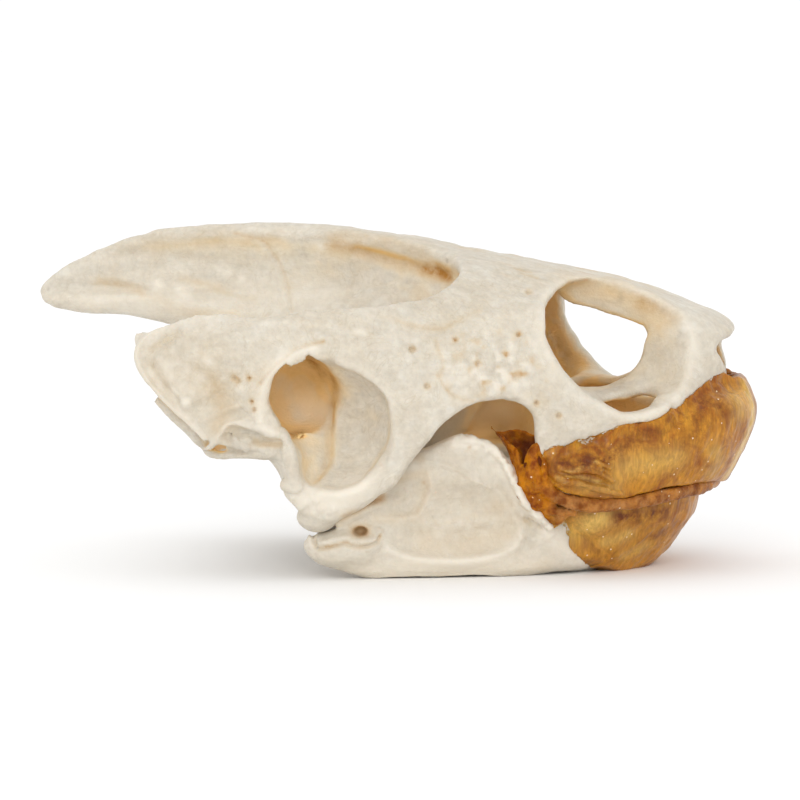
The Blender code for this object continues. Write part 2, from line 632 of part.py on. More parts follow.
def mandible():
    wall = sheet("ramus", outline_wall(JAW, -RAMUS_THICK / 2), RAMUS_THICK)
    wall = keep(as_mesh(wall), prism("jaw side", MANDIBLE_SIDE, -4.0, 24.0, "side"), folded=True)
    joint = blob("jaw joint", (-2.4, 13.0, 2.6), (3.2, 2.6, 1.8), (0, -14, 14))
    lower = tube(
        "lower border",
        (
            (-2.8, 13.4, 1.6), (-0.4, 12.8, 0.9), (2.6, 12.0, 0.8), (8.0, 10.6, 0.9), (13.0, 8.6, 1.2),
            (17.0, 6.0, 1.5),
        ),
        (1.0, 1.1, 1.2, 1.2, 1.1, 1.0),
    )
    chin = blob("chin", (18.8, 0.0, 2.9), (2.0, 4.4, 1.7))
    shelf = tube(
        "coronoid ridge",
        ((5.6, 11.8, 9.8), (8.4, 11.0, 8.6), (10.4, 10.6, 6.2), (12.4, 9.9, 4.4)),
        (0.9, 1.1, 1.1, 0.9),
    )
    bone = grow_together(join("mandible", [wall, joint, lower, chin, shelf]))
    hollow = blob("jaw side hollow", (6.0, 15.7, 5.2), (6.0, 3.9, 3.4), (0, 0, 14))
    bone = cut(bone, as_mesh(hollow))
    facet = blob("jaw socket", (-4.3, 13.4, 5.5), (2.25, 3.45, 1.95))
    bone = cut(bone, as_mesh(facet))
    bone = cut(bone, beak_bed(JAW, LOWER_BEAK_SIDE))
    canal = blob("jaw canal", (-0.9, 15.2, 3.7), (0.55, 1.6, 0.45))
    bone = cut(bone, as_mesh(canal))
    ground = prism("ground", ((-40, -20), (40, -20), (40, 40), (-40, 40)), -6.0, GROUND, "top")
    return finish(grow_together(bone), "mandible", BONE_COLOUR, 1900, ground)


def upper_beak():
    horn = sheet("upper beak", outline_wall(UPPER_BEAK, BEAK_GAP + BEAK_HORN / 2), BEAK_HORN)
    horn = keep(as_mesh(horn), prism("upper beak side", UPPER_BEAK_SIDE, -4.0, 24.0, "side"))
    horn = grow_together(horn, 2)
    return finish(horn, "upper_beak", HORN_COLOUR, 1100)


def lower_beak():
    horn = sheet("lower beak", outline_wall(JAW, BEAK_GAP + BEAK_HORN / 2), BEAK_HORN)
    horn = keep(as_mesh(horn), prism("lower beak side", LOWER_BEAK_SIDE, -4.0, 24.0, "side"))
    horn = grow_together(horn, 2)
    return finish(horn, "lower_beak", HORN_COLOUR, 800)


clear_scene()
parts = new_collection("pond turtle skull")
workshop = new_collection("cutters", hidden=True)
skull = bpy.data.objects.new("skull", None)
skull.scale = (MILLIMETRE,) * 3
parts.objects.link(skull)
cranium()
mandible()
upper_beak()
lower_beak()
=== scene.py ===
import math

import bmesh
import bpy
import numpy as np
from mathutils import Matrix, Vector
from mathutils.bvhtree import BVHTree


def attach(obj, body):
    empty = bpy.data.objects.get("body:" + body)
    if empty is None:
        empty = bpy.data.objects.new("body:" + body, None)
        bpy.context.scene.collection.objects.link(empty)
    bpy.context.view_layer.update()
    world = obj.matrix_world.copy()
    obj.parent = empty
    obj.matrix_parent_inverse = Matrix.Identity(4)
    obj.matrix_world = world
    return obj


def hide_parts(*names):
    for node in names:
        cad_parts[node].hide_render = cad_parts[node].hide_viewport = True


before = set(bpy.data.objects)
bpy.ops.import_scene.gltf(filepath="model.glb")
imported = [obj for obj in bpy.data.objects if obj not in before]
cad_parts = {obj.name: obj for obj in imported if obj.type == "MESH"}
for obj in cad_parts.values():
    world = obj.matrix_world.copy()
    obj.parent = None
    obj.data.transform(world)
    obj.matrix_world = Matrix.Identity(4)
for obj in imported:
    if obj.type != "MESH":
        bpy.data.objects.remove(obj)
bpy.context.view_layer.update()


# The studio: a white room over a floor of matte white card, with one softbox above the camera.
# The skull stands loose on the card. The camera looks along the skull's right side.
MILLIMETRE = 0.001
CAMERA_TURN = math.radians(6.5)
CAMERA_TILT = math.radians(4.5)
CAMERA_DISTANCE = 0.350
CAMERA_LENS = 204.75
CAMERA_AIM = Vector((0.0, 0.0, 0.0123))
CARD_WHITE = "#FBFBFB"
CARD_HALF = 40.0
ROOM_BRIGHTNESS = 1.05
SOFTBOX_PLACE = Vector((0.0, -0.84, 0.34))
SOFTBOX_WIDTH = 0.5
SOFTBOX_POWER = 1.9


def linear(hex_colour):
    """The linear colour of an sRGB hex value."""
    channels = [int(hex_colour[i : i + 2], 16) / 255 for i in (1, 3, 5)]
    return (*[c / 12.92 if c <= 0.04045 else ((c + 0.055) / 1.055) ** 2.4 for c in channels], 1.0)


def add_node(tree, kind, *fed, **settings):
    """One more node. Its first sockets are fed in order and the others by name, each with another node's
    first output, an output, a hex colour or a value. The rest are the node's own settings."""
    node = tree.nodes.new("ShaderNode" + kind)
    sockets = list(zip(node.inputs, fed))
    for name, value in settings.items():
        if hasattr(node, name):
            setattr(node, name, value)
        else:
            sockets.append((node.inputs[name.replace("_", " ")], value))
    for socket, value in sockets:
        if isinstance(value, bpy.types.Node):
            value = value.outputs[0]
        if isinstance(value, bpy.types.NodeSocket):
            tree.links.new(value, socket)
        else:
            socket.default_value = linear(value) if isinstance(value, str) else value
    return node


def new_material(name):
    material = bpy.data.materials.new(name)
    material.use_nodes = True
    material.node_tree.nodes.clear()
    return material, material.node_tree


def place_camera():
    camera = bpy.data.objects.new("camera", bpy.data.cameras.new("camera"))
    camera.data.lens = CAMERA_LENS
    camera.data.clip_start = 0.01
    camera.data.clip_end = 20.0
    level = math.cos(CAMERA_TILT)
    back = Vector((math.sin(CAMERA_TURN) * level, -math.cos(CAMERA_TURN) * level, math.sin(CAMERA_TILT)))
    camera.location = CAMERA_AIM + CAMERA_DISTANCE * back
    camera.rotation_euler = back.to_track_quat("Z", "Y").to_euler()
    bpy.context.scene.collection.objects.link(camera)
    bpy.context.scene.camera = camera


def lay_floor():
    mesh = bpy.data.meshes.new("floor")
    corners = [(x * CARD_HALF, y * CARD_HALF, 0) for x, y in ((-1, -1), (1, -1), (1, 1), (-1, 1))]
    mesh.from_pydata(corners, [], [(0, 1, 2, 3)])
    floor = bpy.data.objects.new("floor", mesh)
    bpy.context.scene.collection.objects.link(floor)
    material, tree = new_material("white card")
    card = add_node(tree, "BsdfPrincipled", Base_Color=CARD_WHITE, Roughness=0.9)
    add_node(tree, "OutputMaterial", card)
    mesh.materials.append(material)


def light_room():
    world = bpy.data.worlds.new("white room")
    world.use_nodes = True
    background = world.node_tree.nodes["Background"]
    background.inputs["Color"].default_value = (1.0, 1.0, 1.0, 1.0)
    background.inputs["Strength"].default_value = ROOM_BRIGHTNESS
    bpy.context.scene.world = world
    light = bpy.data.lights.new("softbox", "AREA")
    light.shape = "DISK"
    light.size = SOFTBOX_WIDTH
    light.energy = SOFTBOX_POWER
    softbox = bpy.data.objects.new("softbox", light)
    softbox.location = SOFTBOX_PLACE
    softbox.rotation_euler = (SOFTBOX_PLACE - CAMERA_AIM).to_track_quat("Z", "Y").to_euler()
    bpy.context.scene.collection.objects.link(softbox)
    bpy.context.scene.view_settings.view_transform = "Standard"
    bpy.context.scene.view_settings.look = "None"


place_camera()
lay_floor()
light_room()


# The cranium: one grown piece of dry bone, boiled clean and bleached, with sutures, thin edges and vessel
# holes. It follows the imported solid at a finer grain: bars, rims and folds are grown on, then the skin is
# raised along the lines of the real bones. A place is (x, w, z) in mm, w being out from the middle plane.
FINE_GRAIN = 0.17
BONE_TRIANGLES = 190000
DRAWN_DEPTH = 0.5
MARK_REACH = 2.6
HIDDEN_REACH = 14.0
HIDDEN_RAYS = 12
HIDDEN_START = 0.3
HIDDEN_SPREAD = 0.95
NOISE_CELLS = 32
SMALLEST_EDGE = 0.002
EDGE_WEAR = 90
CREST_TIP = -24.0
CREST_TIP_LENGTH = 3.6
CREST_TIP_DRAW = 0.25
BONE_SHARES = ("shut in", "amber stain and painted shade", "chalk", "dark speck and painted shade")


def add_object(name, mesh):
    made = bpy.data.objects.new(name, mesh)
    bpy.context.scene.collection.objects.link(made)
    return made


def worked(piece, kind, **settings):
    """The piece after one step of shaping, kept in its mesh."""
    step = piece.modifiers.new(kind.lower(), kind)
    for name, value in settings.items():
        setattr(step, name, value)
    graph = bpy.context.evaluated_depsgraph_get()
    mesh = bpy.data.meshes.new_from_object(piece.evaluated_get(graph))
    piece.modifiers.clear()
    piece.data = mesh
    return piece


def scaled(piece, factor):
    piece.data.transform(((factor, 0, 0, 0), (0, factor, 0, 0), (0, 0, factor, 0), (0, 0, 0, 1)))
    return piece


def solid_of(node, name):
    """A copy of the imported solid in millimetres, with its triangles rounded over."""
    piece = add_object(name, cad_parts[node].data.copy())
    piece.data.materials.clear()
    scaled(piece, 1 / MILLIMETRE)
    work = bmesh.new()
    work.from_mesh(piece.data)
    bmesh.ops.remove_doubles(work, verts=work.verts, dist=0.001)
    work.to_mesh(piece.data)
    work.free()
    return worked(piece, "SUBSURF", levels=1, render_levels=1)


def smooth_line(points, steps=6):
    """Points on a smooth curve through the given ones."""
    given = np.array(points, float)
    if len(given) == 1:
        return given
    padded = np.vstack([2 * given[0] - given[1], given, 2 * given[-1] - given[-2]])
    out = []
    for i in range(1, len(padded) - 2):
        a, b, c, d = padded[i - 1 : i + 3]
        for t in np.arange(steps) / steps:
            out.append(
                0.5 * (2 * b + (c - a) * t + (2 * a - 5 * b + 4 * c - d) * t * t)
                + 0.5 * (3 * b - a - 3 * c + d) * t**3
            )
    out.append(given[-1])
    return np.array(out)


def bar(points, radii, flat=1.0, sides=12):
    """A bar along a smooth line, with a radius at each point. Flat narrows it across the skull."""
    line = smooth_line([(*p, r) for p, r in zip(points, radii)])
    centre, radius = line[:, :3] * (1, -1, 1), line[:, 3]
    ahead = np.gradient(centre, axis=0)
    ahead /= np.linalg.norm(ahead, axis=1)[:, None]
    side = np.array((0.0, 1.0, 0.0)) if abs(ahead[0, 1]) < 0.9 else np.array((1.0, 0.0, 0.0))
    turn = np.linspace(0, 2 * math.pi, sides, endpoint=False)
    rings = []
    for c, r, t in zip(centre, radius, ahead):
        side = side - t * (side @ t)
        side /= np.linalg.norm(side)
        up = np.cross(t, side)
        rings.append(c + r * (flat * np.cos(turn)[:, None] * side + np.sin(turn)[:, None] * up))
    faces = [
        (k * sides + i, k * sides + (i + 1) % sides, (k + 1) * sides + (i + 1) % sides, (k + 1) * sides + i)
        for k in range(len(rings) - 1)
        for i in range(sides)
    ]
    faces.append(tuple(range(sides))[::-1])
    faces.append(tuple((len(rings) - 1) * sides + i for i in range(sides)))
    return np.vstack(rings), faces


def lump(centre, radii):
    """An egg-shaped lump."""
    work = bmesh.new()
    bmesh.ops.create_icosphere(work, subdivisions=3, radius=1.0)
    spots = np.array([v.co for v in work.verts]) * radii + np.array(centre) * (1, -1, 1)
    faces = [[v.index for v in f.verts] for f in work.faces]
    work.free()
    return spots, faces


def leaf(lines, thick, steps=5):
    """A thin curved plate through lines of (x, w, z), made solid."""
    given = np.array(lines, float)
    grid = np.stack([smooth_line(given[:, c], steps) for c in range(given.shape[1])], axis=1)
    grid = np.array([smooth_line(line, steps) for line in grid]) * (1, -1, 1)
    rows, columns = grid.shape[:2]
    across = np.cross(np.gradient(grid, axis=0), np.gradient(grid, axis=1))
    across /= np.linalg.norm(across, axis=2)[:, :, None] + 1e-9
    lift = thick / 2 * across
    spots = np.vstack([(grid + lift).reshape(-1, 3), (grid - lift).reshape(-1, 3)])
    under = rows * columns
    faces = []
    for r in range(rows - 1):
        for c in range(columns - 1):
            a = r * columns + c
            quad = (a, a + 1, a + columns + 1, a + columns)
            faces.append(quad)
            faces.append(tuple(under + i for i in quad[::-1]))
    edge = list(range(columns)) + [r * columns + columns - 1 for r in range(1, rows)]
    edge += [(rows - 1) * columns + c for c in range(columns - 2, -1, -1)]
    edge += [r * columns for r in range(rows - 2, 0, -1)]
    for a, b in zip(edge, edge[1:] + edge[:1]):
        faces.append((b, a, under + a, under + b))
    return spots, faces


def both_sides(shapes):
    """The given shapes and their mirror images."""
    return list(shapes) + [(spots * (1, -1, 1), [tuple(f)[::-1] for f in faces]) for spots, faces in shapes]


def joined(name, shapes):
    work = bmesh.new()
    for spots, faces in shapes:
        corners = [work.verts.new(p) for p in spots]
        for face in faces:
            work.faces.new([corners[i] for i in face])
    bmesh.ops.recalc_face_normals(work, faces=work.faces)
    mesh = bpy.data.meshes.new(name)
    work.to_mesh(mesh)
    work.free()
    return add_object(name, mesh)


def carved(piece, shapes):
    """The piece with the shapes, which don't touch each other, cut from it."""
    tool = joined("tool", shapes)
    piece = worked(piece, "BOOLEAN", operation="DIFFERENCE", object=tool, solver="EXACT")
    bpy.data.objects.remove(tool)
    return piece


def grown_on(piece, shapes, grain=FINE_GRAIN):
    """The piece with the shapes fused to it in one skin."""
    if shapes:
        extra = joined("extra", shapes)
        work = bmesh.new()
        work.from_mesh(piece.data)
        work.from_mesh(extra.data)
        work.to_mesh(piece.data)
        work.free()
        bpy.data.objects.remove(extra)
    return worked(piece, "REMESH", mode="VOXEL", voxel_size=grain, adaptivity=0.0)


def points_of(piece, kind="co"):
    values = np.empty(len(piece.data.vertices) * 3, np.float32)
    piece.data.vertices.foreach_get(kind, values)
    return values.reshape(-1, 3).astype(float)


def set_points(piece, spots):
    piece.data.vertices.foreach_set("co", spots.astype(np.float32).reshape(-1))
    piece.data.update()


def unevenness(spots, size, seed):
    """Smooth noise from -1 to 1 in three dimensions, with lumps about size mm across."""
    lattice = np.random.default_rng(seed).uniform(-1, 1, (NOISE_CELLS,) * 3)
    at = np.asarray(spots) / size + 100.37
    low = np.floor(at).astype(int)
    part = at - low
    part = part * part * (3 - 2 * part)
    total = np.zeros(len(at))
    for corner in np.ndindex(2, 2, 2):
        share = np.prod([part[:, k] if corner[k] else 1 - part[:, k] for k in range(3)], axis=0)
        total += share * lattice[tuple((low[:, k] + corner[k]) % NOISE_CELLS for k in range(3))]
    return total


def uneven_layers(spots, *layers):
    """Layers of unevenness added up, each with its height in mm, its size in mm and its seed."""
    return sum(height * unevenness(spots, size, seed) for height, size, seed in layers)


def near_line(spots, line, reach):
    """The points of both sides within reach of a line of (x, w, z), and how far off they are."""
    flat = np.stack([spots[:, 0], DRAWN_DEPTH * np.abs(spots[:, 1]), spots[:, 2]], axis=1)
    path = smooth_line(line, 4) * (1, DRAWN_DEPTH, 1)
    near = np.where(((flat > path.min(0) - reach) & (flat < path.max(0) + reach)).all(axis=1))[0]
    here = flat[near]
    best = np.linalg.norm(here - path[0], axis=1)
    for a, b in zip(path[:-1], path[1:]):
        along = b - a
        t = np.clip((here - a) @ along / (along @ along + 1e-12), 0, 1)
        best = np.minimum(best, np.linalg.norm(here - a - t[:, None] * along, axis=1))
    return near, best


def mark(field, spots, line, width, height):
    """Adds a soft mark of that width and height along the line: relief in mm, or a share of a stain."""
    near, away = near_line(spots, line, MARK_REACH * width)
    field[near] += height * np.exp(-((away / width) ** 2))


def stained(spots, rows):
    """How far each point is stained by the rows of (width, share, line)."""
    field = np.zeros(len(spots))
    for width, share, line in rows:
        mark(field, spots, line, width, share)
    return field


def blended(piece, line, reach, times):
    """The piece with its edges worn round within reach of the line."""
    near, away = near_line(points_of(piece), line, reach)
    worn = piece.vertex_groups.new(name="worn")
    for i, gap in zip(near.tolist(), away.tolist()):
        worn.add([i], max(0.0, 1 - (gap / reach) ** 2), "REPLACE")
    return worked(piece, "SMOOTH", factor=0.5, iterations=times, vertex_group="worn")


def raised(spots, normals, marks):
    """The points moved out or in along their normals by the marks of (height, width, line)."""
    lift = np.zeros(len(spots))
    for height, width, line in marks:
        mark(lift, spots, line, width, height)
    return spots + normals * lift[:, None]


def hidden_share(piece):
    """How shut in each point is, from 0 in the open to 1 deep in a hollow."""
    spots, normals = points_of(piece), points_of(piece, "normal")
    tree = surface_tree(piece)
    turns = np.random.default_rng(5).normal(size=(HIDDEN_RAYS, 3))
    turns /= np.linalg.norm(turns, axis=1)[:, None]
    starts = (spots + HIDDEN_START * normals).tolist()
    shut = np.zeros(len(spots))
    for turn in turns:
        ways = normals + HIDDEN_SPREAD * turn
        ways /= np.linalg.norm(ways, axis=1)[:, None]
        for i, (start, way) in enumerate(zip(starts, ways.tolist())):
            away = tree.ray_cast(start, way, HIDDEN_REACH)[3]
            if away is not None:
                shut[i] += 1 - 0.5 * away / HIDDEN_REACH
    return shut / HIDDEN_RAYS


def surface_tree(piece):
    faces = [tuple(face.vertices) for face in piece.data.polygons]
    return BVHTree.FromPolygons(points_of(piece).tolist(), faces)


def eased(values, piece, times):
    """The values averaged with those of the neighbouring points."""
    edges = np.array([e.vertices[:] for e in piece.data.edges])
    count = np.bincount(edges.ravel(), minlength=len(values))
    for _ in range(times):
        total = np.bincount(edges[:, 0], values[edges[:, 1]], len(values))
        total += np.bincount(edges[:, 1], values[edges[:, 0]], len(values))
        values = 0.5 * values + 0.5 * total / np.maximum(count, 1)
    return values


def keep_shares(piece, names, fields):
    """Keeps the fields at the piece's points, from 0 to 1, for its material to read."""
    for name, field in zip(names, fields):
        layer = piece.data.attributes.new(name, "FLOAT", "POINT")
        layer.data.foreach_set("value", np.clip(field, 0, 1).astype(np.float32))


def kept_shares(tree, names):
    return [add_node(tree, "Attribute", attribute_name=name).outputs["Fac"] for name in names]


EAR_RIM = (
    (-7.2, 16.9, 10.9), (-8.1, 17.1, 11.8), (-8.3, 17.2, 12.9), (-8.1, 17.3, 14.1), (-7.65, 17.3, 15.4),
    (-6.8, 17.3, 16.4), (-5.5, 17.2, 17.15), (-4.3, 16.9, 17.35),
)
EAR_ROD = (
    (-6.9, 16.6, 11.3), (-6.55, 17.1, 10.7), (-6.2, 17.3, 9.8), (-6, 17.3, 8.7), (-5.95, 17.1, 7.8),
    (-5.7, 16.7, 7),
)
SQUAMOSAL_RIM = (
    (-12, 15.9, 19.6), (-13.8, 15.5, 19.3), (-15.4, 14.9, 18.9), (-16.9, 14.5, 18.2), (-17.8, 14.5, 17.2),
    (-17.8, 14.7, 16.1), (-17, 15.1, 14.9), (-16, 15.3, 13.7), (-14.8, 15.6, 12.6), (-13.6, 15.8, 11.5),
    (-12.6, 15.8, 10.4),
)
SQUAMOSAL_CREASE = (
    (-11.3, 16.4, 19), (-13, 16.2, 18.8), (-14.7, 15.6, 18.3), (-16.1, 15.1, 17.6), (-16.9, 14.9, 16.9),
    (-17.1, 14.9, 16.1), (-16.8, 15.1, 15.3), (-16, 15.4, 14.3), (-15, 15.8, 13.3),
)
FOLDED_EDGE = (
    (-12.8, 14.4, 9.7), (-11.9, 16, 10.5), (-11.2, 16.7, 11.1), (-10.8, 16.9, 11.8), (-10.1, 17.1, 11.9),
    (-9, 17.2, 11.7), (-7.9, 17.3, 11.4), (-7.2, 17.1, 11.1),
)
PARIETAL_SUTURE = (
    (-12.6, 1.1, 25.1), (-10.5, 1.2, 24.6), (-9.8, 1.1, 23.8), (-9.2, 1, 22.9), (-8.9, 0.9, 22.2),
    (-8.4, 0.8, 20.8), (-8.3, 1, 20), (-8, 1.7, 19.1),
)
EAR_LIP = (
    (-2.5, 16.9, 16.4), (-0.7, 16.9, 15.7), (0.6, 16.4, 14.3), (1.3, 16.2, 12.5), (1.1, 16, 10.4),
    (0.3, 15.8, 8.9), (-0.8, 16.3, 7.3), (-2.2, 16.4, 6.7), (-4, 16.5, 6.6),
)
EAR_STEP = (
    (-3.5, 14, 15.6), (-3.4, 13.6, 14.6), (-3.4, 13, 13.4), (-3.6, 12.6, 12.2), (-4.1, 13.4, 11.3),
    (-5.2, 14.6, 11.2),
)
BOWL_EDGE = (
    (-3.7, 12.3, 12.6), (-3.7, 12.9, 11.8), (-3.7, 13.6, 10.5), (-3.7, 14.3, 8.9), (-4.3, 15.5, 7.7),
)
JUGAL_SUTURE = (
    (4.3, 14.6, 17.9), (4.9, 15.1, 16), (4.6, 15.4, 15.3), (5.4, 15.3, 14.1), (6.2, 15.1, 13.6),
    (7, 14.6, 13.4),
)
PATCH_EDGE = (
    (0.4, 15, 19.6), (2.8, 14.8, 18.9), (4.6, 14.1, 18.7), (5.4, 13.4, 19), (6.6, 12.4, 19.6),
    (7.3, 11.9, 19.8),
)
EAR_SUTURE = (
    (-8.3, 17.5, 14.8), (-7.4, 17.5, 15.9), (-6.3, 17.4, 16.8), (-5.7, 17.3, 17.3), (-4.8, 17.2, 17.6),
    (-3.7, 17, 17.9),
)
ORBIT_RIM = (
    (11.9, 11, 19.6), (11.9, 11.6, 18.1), (12.4, 12.1, 16.8), (13.4, 12.3, 15.2), (14.8, 12, 14),
    (16.6, 11.4, 12.8), (18.4, 10.6, 12.1), (20.2, 9.8, 12.4), (21.8, 8, 13.4), (22.7, 6.7, 15.2),
    (22.9, 5.9, 17.1), (22.2, 5.2, 19.2), (20.6, 4.8, 20.3), (18.7, 4.4, 21.2), (16.4, 4.6, 21.9),
    (14.5, 5.2, 22), (12.8, 7.4, 21.6), (11.9, 9.2, 20.7), (11.9, 11, 19.6),
)
CRUST_MIDDLE = (8.8, 13.4, 15.9)
CRUST_REACH = (3.6, 4.5, 2.6)
PITS = (
    (2.7, 15.6, 17.3), (3.8, 15.8, 14.6), (5.7, 14, 17.9), (10.2, 12.3, 18.2), (10.7, 9.1, 21.2),
    (7.4, 14.2, 16.2), (11.6, 12.8, 13.2), (-10.3, 17.4, 15.2), (-10, 17.4, 15), (-9.1, 17.5, 15.2),
    (-8.9, 17.4, 13.5), (-8.7, 17.4, 12.9), (17.3, 10.3, 10.9), (13.2, 12.2, 12.2),
)
CONDYLE_KNOBS = (
    (-6.4, 16.6, 7.3), (-6, 16.5, 6.4), (-5.1, 16.5, 5.9), (-4.6, 16.4, 5.2), (-4, 16.4, 5.5),
    (-3.5, 16.3, 4.9), (-4.3, 16.4, 6.1), (-3, 16.2, 5.5), (-5.5, 16.3, 5.6),
)
ROOF_SCRATCHES = (
    ((4.6, 0.3, 24), (6.4, 0.6, 23.8)),
    ((5.9, 1.4, 23.8), (7.4, 1.6, 23.6)),
    ((7.6, 2.6, 23.4), (9, 2.8, 23.2)),
    ((7.9, 4.6, 23.1), (9.2, 5, 22.8)),
    ((9.3, 5.6, 22.7), (10.6, 6, 22.4)),
    ((9.9, 6.6, 22.4), (11.2, 7, 22.1)),
    ((11, 3.2, 22.9), (12.6, 3.3, 22.7)),
    ((13.5, 2, 22.5), (15, 2, 22.2)),
    ((8.6, 7.4, 22.5), (9.8, 7.8, 22.2)),
    ((16, 1.2, 22), (17.6, 1.2, 21.6)),
    ((19, 1.8, 21.1), (20.4, 1.8, 20.7)),
    ((12, 5.4, 22.5), (13.2, 5.2, 22.4)),
)
EAR_CHAMBER = lump((-5.5, 16.5, 14.2), (2.5, 4.9, 3.0))
EAR_GROOVE = lump((-4.6, 16.4, 9.3), (1.0, 2.0, 2.2))
CRANIUM_GROWTHS = [
    bar(EAR_RIM, (0.3, 0.4, 0.4, 0.38, 0.34, 0.27, 0.18, 0.06)),
    bar(EAR_ROD, (0.36, 0.44, 0.48, 0.48, 0.5, 0.55)),
    bar(SQUAMOSAL_RIM, (0.05, 0.07, 0.12, 0.32, 0.42, 0.4, 0.36, 0.33, 0.3, 0.27, 0.2)),
    bar(FOLDED_EDGE, (0.15, 0.2, 0.24, 0.26, 0.26, 0.24, 0.22, 0.2), flat=1.2),
    bar(((-16.6, 13.6, 13.4), (-15.4, 13.3, 12.2), (-14.2, 12.8, 11), (-13.6, 12, 10.2), (-13.2, 11, 9.7)),
        (0.4, 0.5, 0.55, 0.6, 0.5)),
    bar(((-13.4, 11.4, 9.6), (-12.9, 12.6, 9.2), (-11.6, 14.2, 9.2), (-10, 15.2, 9.4), (-8, 16, 9.5)),
        (0.3, 0.32, 0.35, 0.38, 0.4)),
    lump((-6.4, 16.8, 7.3), (0.55, 0.6, 0.5)),
    bar(((-6.6, 15.2, 10.9), (-5.7, 14.5, 11), (-4.8, 13.9, 10.9), (-4.4, 13.3, 10.8)),
        (0.22, 0.19, 0.16, 0.12)),
    lump((-4.5, 14.5, 4.75), (1.5, 1.5, 1.15)),
    bar(((-13, 14.6, 9.6), (-12.2, 15.6, 9.9), (-11.6, 16.3, 10.7), (-11.2, 16.5, 11.2)),
        (0.12, 0.2, 0.2, 0.14)),
    bar(((-10.9, 16.7, 11.2), (-10.4, 16.8, 10.5), (-10, 16.5, 9.8)), (0.16, 0.2, 0.14)),
    bar(((-9.3, 17, 11.1), (-9.1, 16.9, 10.5), (-9.2, 16.5, 9.9)), (0.12, 0.16, 0.12)),
]
BROKEN_RIM = [
    bar(((x - 0.05, 17.3, z + 0.35), (x + 0.03, 17.35, z - 0.1), (x + 0.1, 17.1, z - 0.42)),
        (0.1, 0.12, 0.06))
    for x, z in [(-6.25 + 0.22 * k, 16.5 + 0.10 * k) for k in range(6)]
]

# Relief in mm, as rows of (height, width, line). The crest: a thin upper edge, a thicker lumpy lower border,
# shallow troughs between them
CREST_RELIEF = (
    (0.42, 0.7, ((-26.4, 0.6, 20), (-24, 0.8, 19.5), (-21.6, 0.9, 19.9), (-19, 0.9, 20.1),
        (-16.2, 0.9, 19.6), (-13, 1.1, 19.2))),
    (0.26, 0.45, ((-22.6, 0.8, 22), (-20.6, 0.8, 21.4), (-18, 0.8, 20.8), (-14.4, 0.9, 20.9),
        (-11.5, 1, 20.3))),
    (-0.3, 0.4, ((-26.5, 0.6, 21.1), (-24, 0.7, 20.9), (-21.7, 0.7, 20.8), (-19.6, 0.7, 20.5))),
    (-0.34, 0.9, ((-20.5, 0.8, 22.8), (-16, 0.8, 22.9), (-12, 0.9, 22.4))),
    (-0.22, 0.6, ((-22, 0.8, 23.4), (-18, 0.8, 24), (-14, 0.9, 24.3))),
    (0.2, 0.5, ((-19, 0.8, 24.8), (-15, 0.9, 25.2), (-10, 1.2, 25.2), (-5, 1.9, 25.1), (-1, 2.6, 24.7))),
    (-0.2, 0.6, ((-15.4, 0.8, 24.1), (-13, 0.9, 24.2), (-11.4, 1, 24.2))),
    (0.18, 0.4, [(x - 0.5, w, z) for x, w, z in PARIETAL_SUTURE[1:]]),
    (-0.09, 0.11, PARIETAL_SUTURE),
    (-0.4, 0.5, ((-3, 2.1, 23.8), (-1, 2.4, 23.3), (1, 3, 22.8), (2.6, 3.9, 22.5), (4, 5.1, 22.2))),
    (-0.16, 0.4, ((-4, 2.1, 24.9), (-1.3, 2.4, 24.6), (1.6, 3.2, 23.8), (3.2, 4.2, 22.9))),
    (0.12, 0.35, ((-5.4, 2.2, 19.6), (-2.4, 2.5, 20.3), (-0.8, 2.6, 20.8), (0.6, 2.9, 21.4))),
)
# The squamosal: a hollow behind its rolled rear rim, and a smooth dent before the ear
SQUAMOSAL_RELIEF = (
    (-0.34, 0.34, SQUAMOSAL_CREASE[2:]),
    (0.28, 0.36, ((-14.2, 16.3, 13), (-12.6, 16.9, 13.9), (-11.4, 17.1, 14.8))),
    (0.28, 0.26, ((-12.9, 16.5, 11.8), (-11.4, 17, 12.6), (-10, 17.2, 13.1))),
    (0.22, 0.22, ((-11.9, 16.7, 11.2), (-10.6, 17, 11.8), (-9.2, 17.3, 12.2))),
    (-0.45, 1.7, ((-15.7, 15.7, 17), (-14.8, 16.2, 15.9), (-13.7, 16.7, 14.6), (-12.5, 16.9, 13.5))),
    (-0.4, 1.3, ((-12, 17.1, 14.4), (-11.2, 17.1, 13.3), (-10.4, 17.2, 12.6))),
    (0.24, 0.45, ((-11.6, 16.7, 17.2), (-9.6, 17.2, 16.4), (-8.9, 17.5, 14.9), (-8.9, 17.4, 13.2),
        (-8.4, 17.3, 12))),
    (-0.55, 0.3, ((-11.1, 16.6, 10.5), (-10.5, 16.8, 11.1), (-9.6, 17, 11.1), (-8.6, 17.1, 10.9))),
    (0.26, 0.17, ((-10.5, 16.8, 11.2), (-10, 16.8, 10.4), (-9.5, 16.7, 9.9))),
    (-0.7, 0.34, ((-8.6, 17, 10.4), (-7.7, 17.1, 10.45), (-7, 17.1, 10.4))),
    (0.24, 0.24, ((-12.9, 11.5, 9.1), (-11.4, 14, 9.2), (-9.8, 15.6, 9.35), (-8.7, 15.9, 9.5),
        (-7.6, 16.6, 9.5))),
    (0.14, 0.14, ((-9.9, 17.1, 11.7), (-8.6, 17.3, 11.2), (-7.5, 17.2, 10.8))),
)
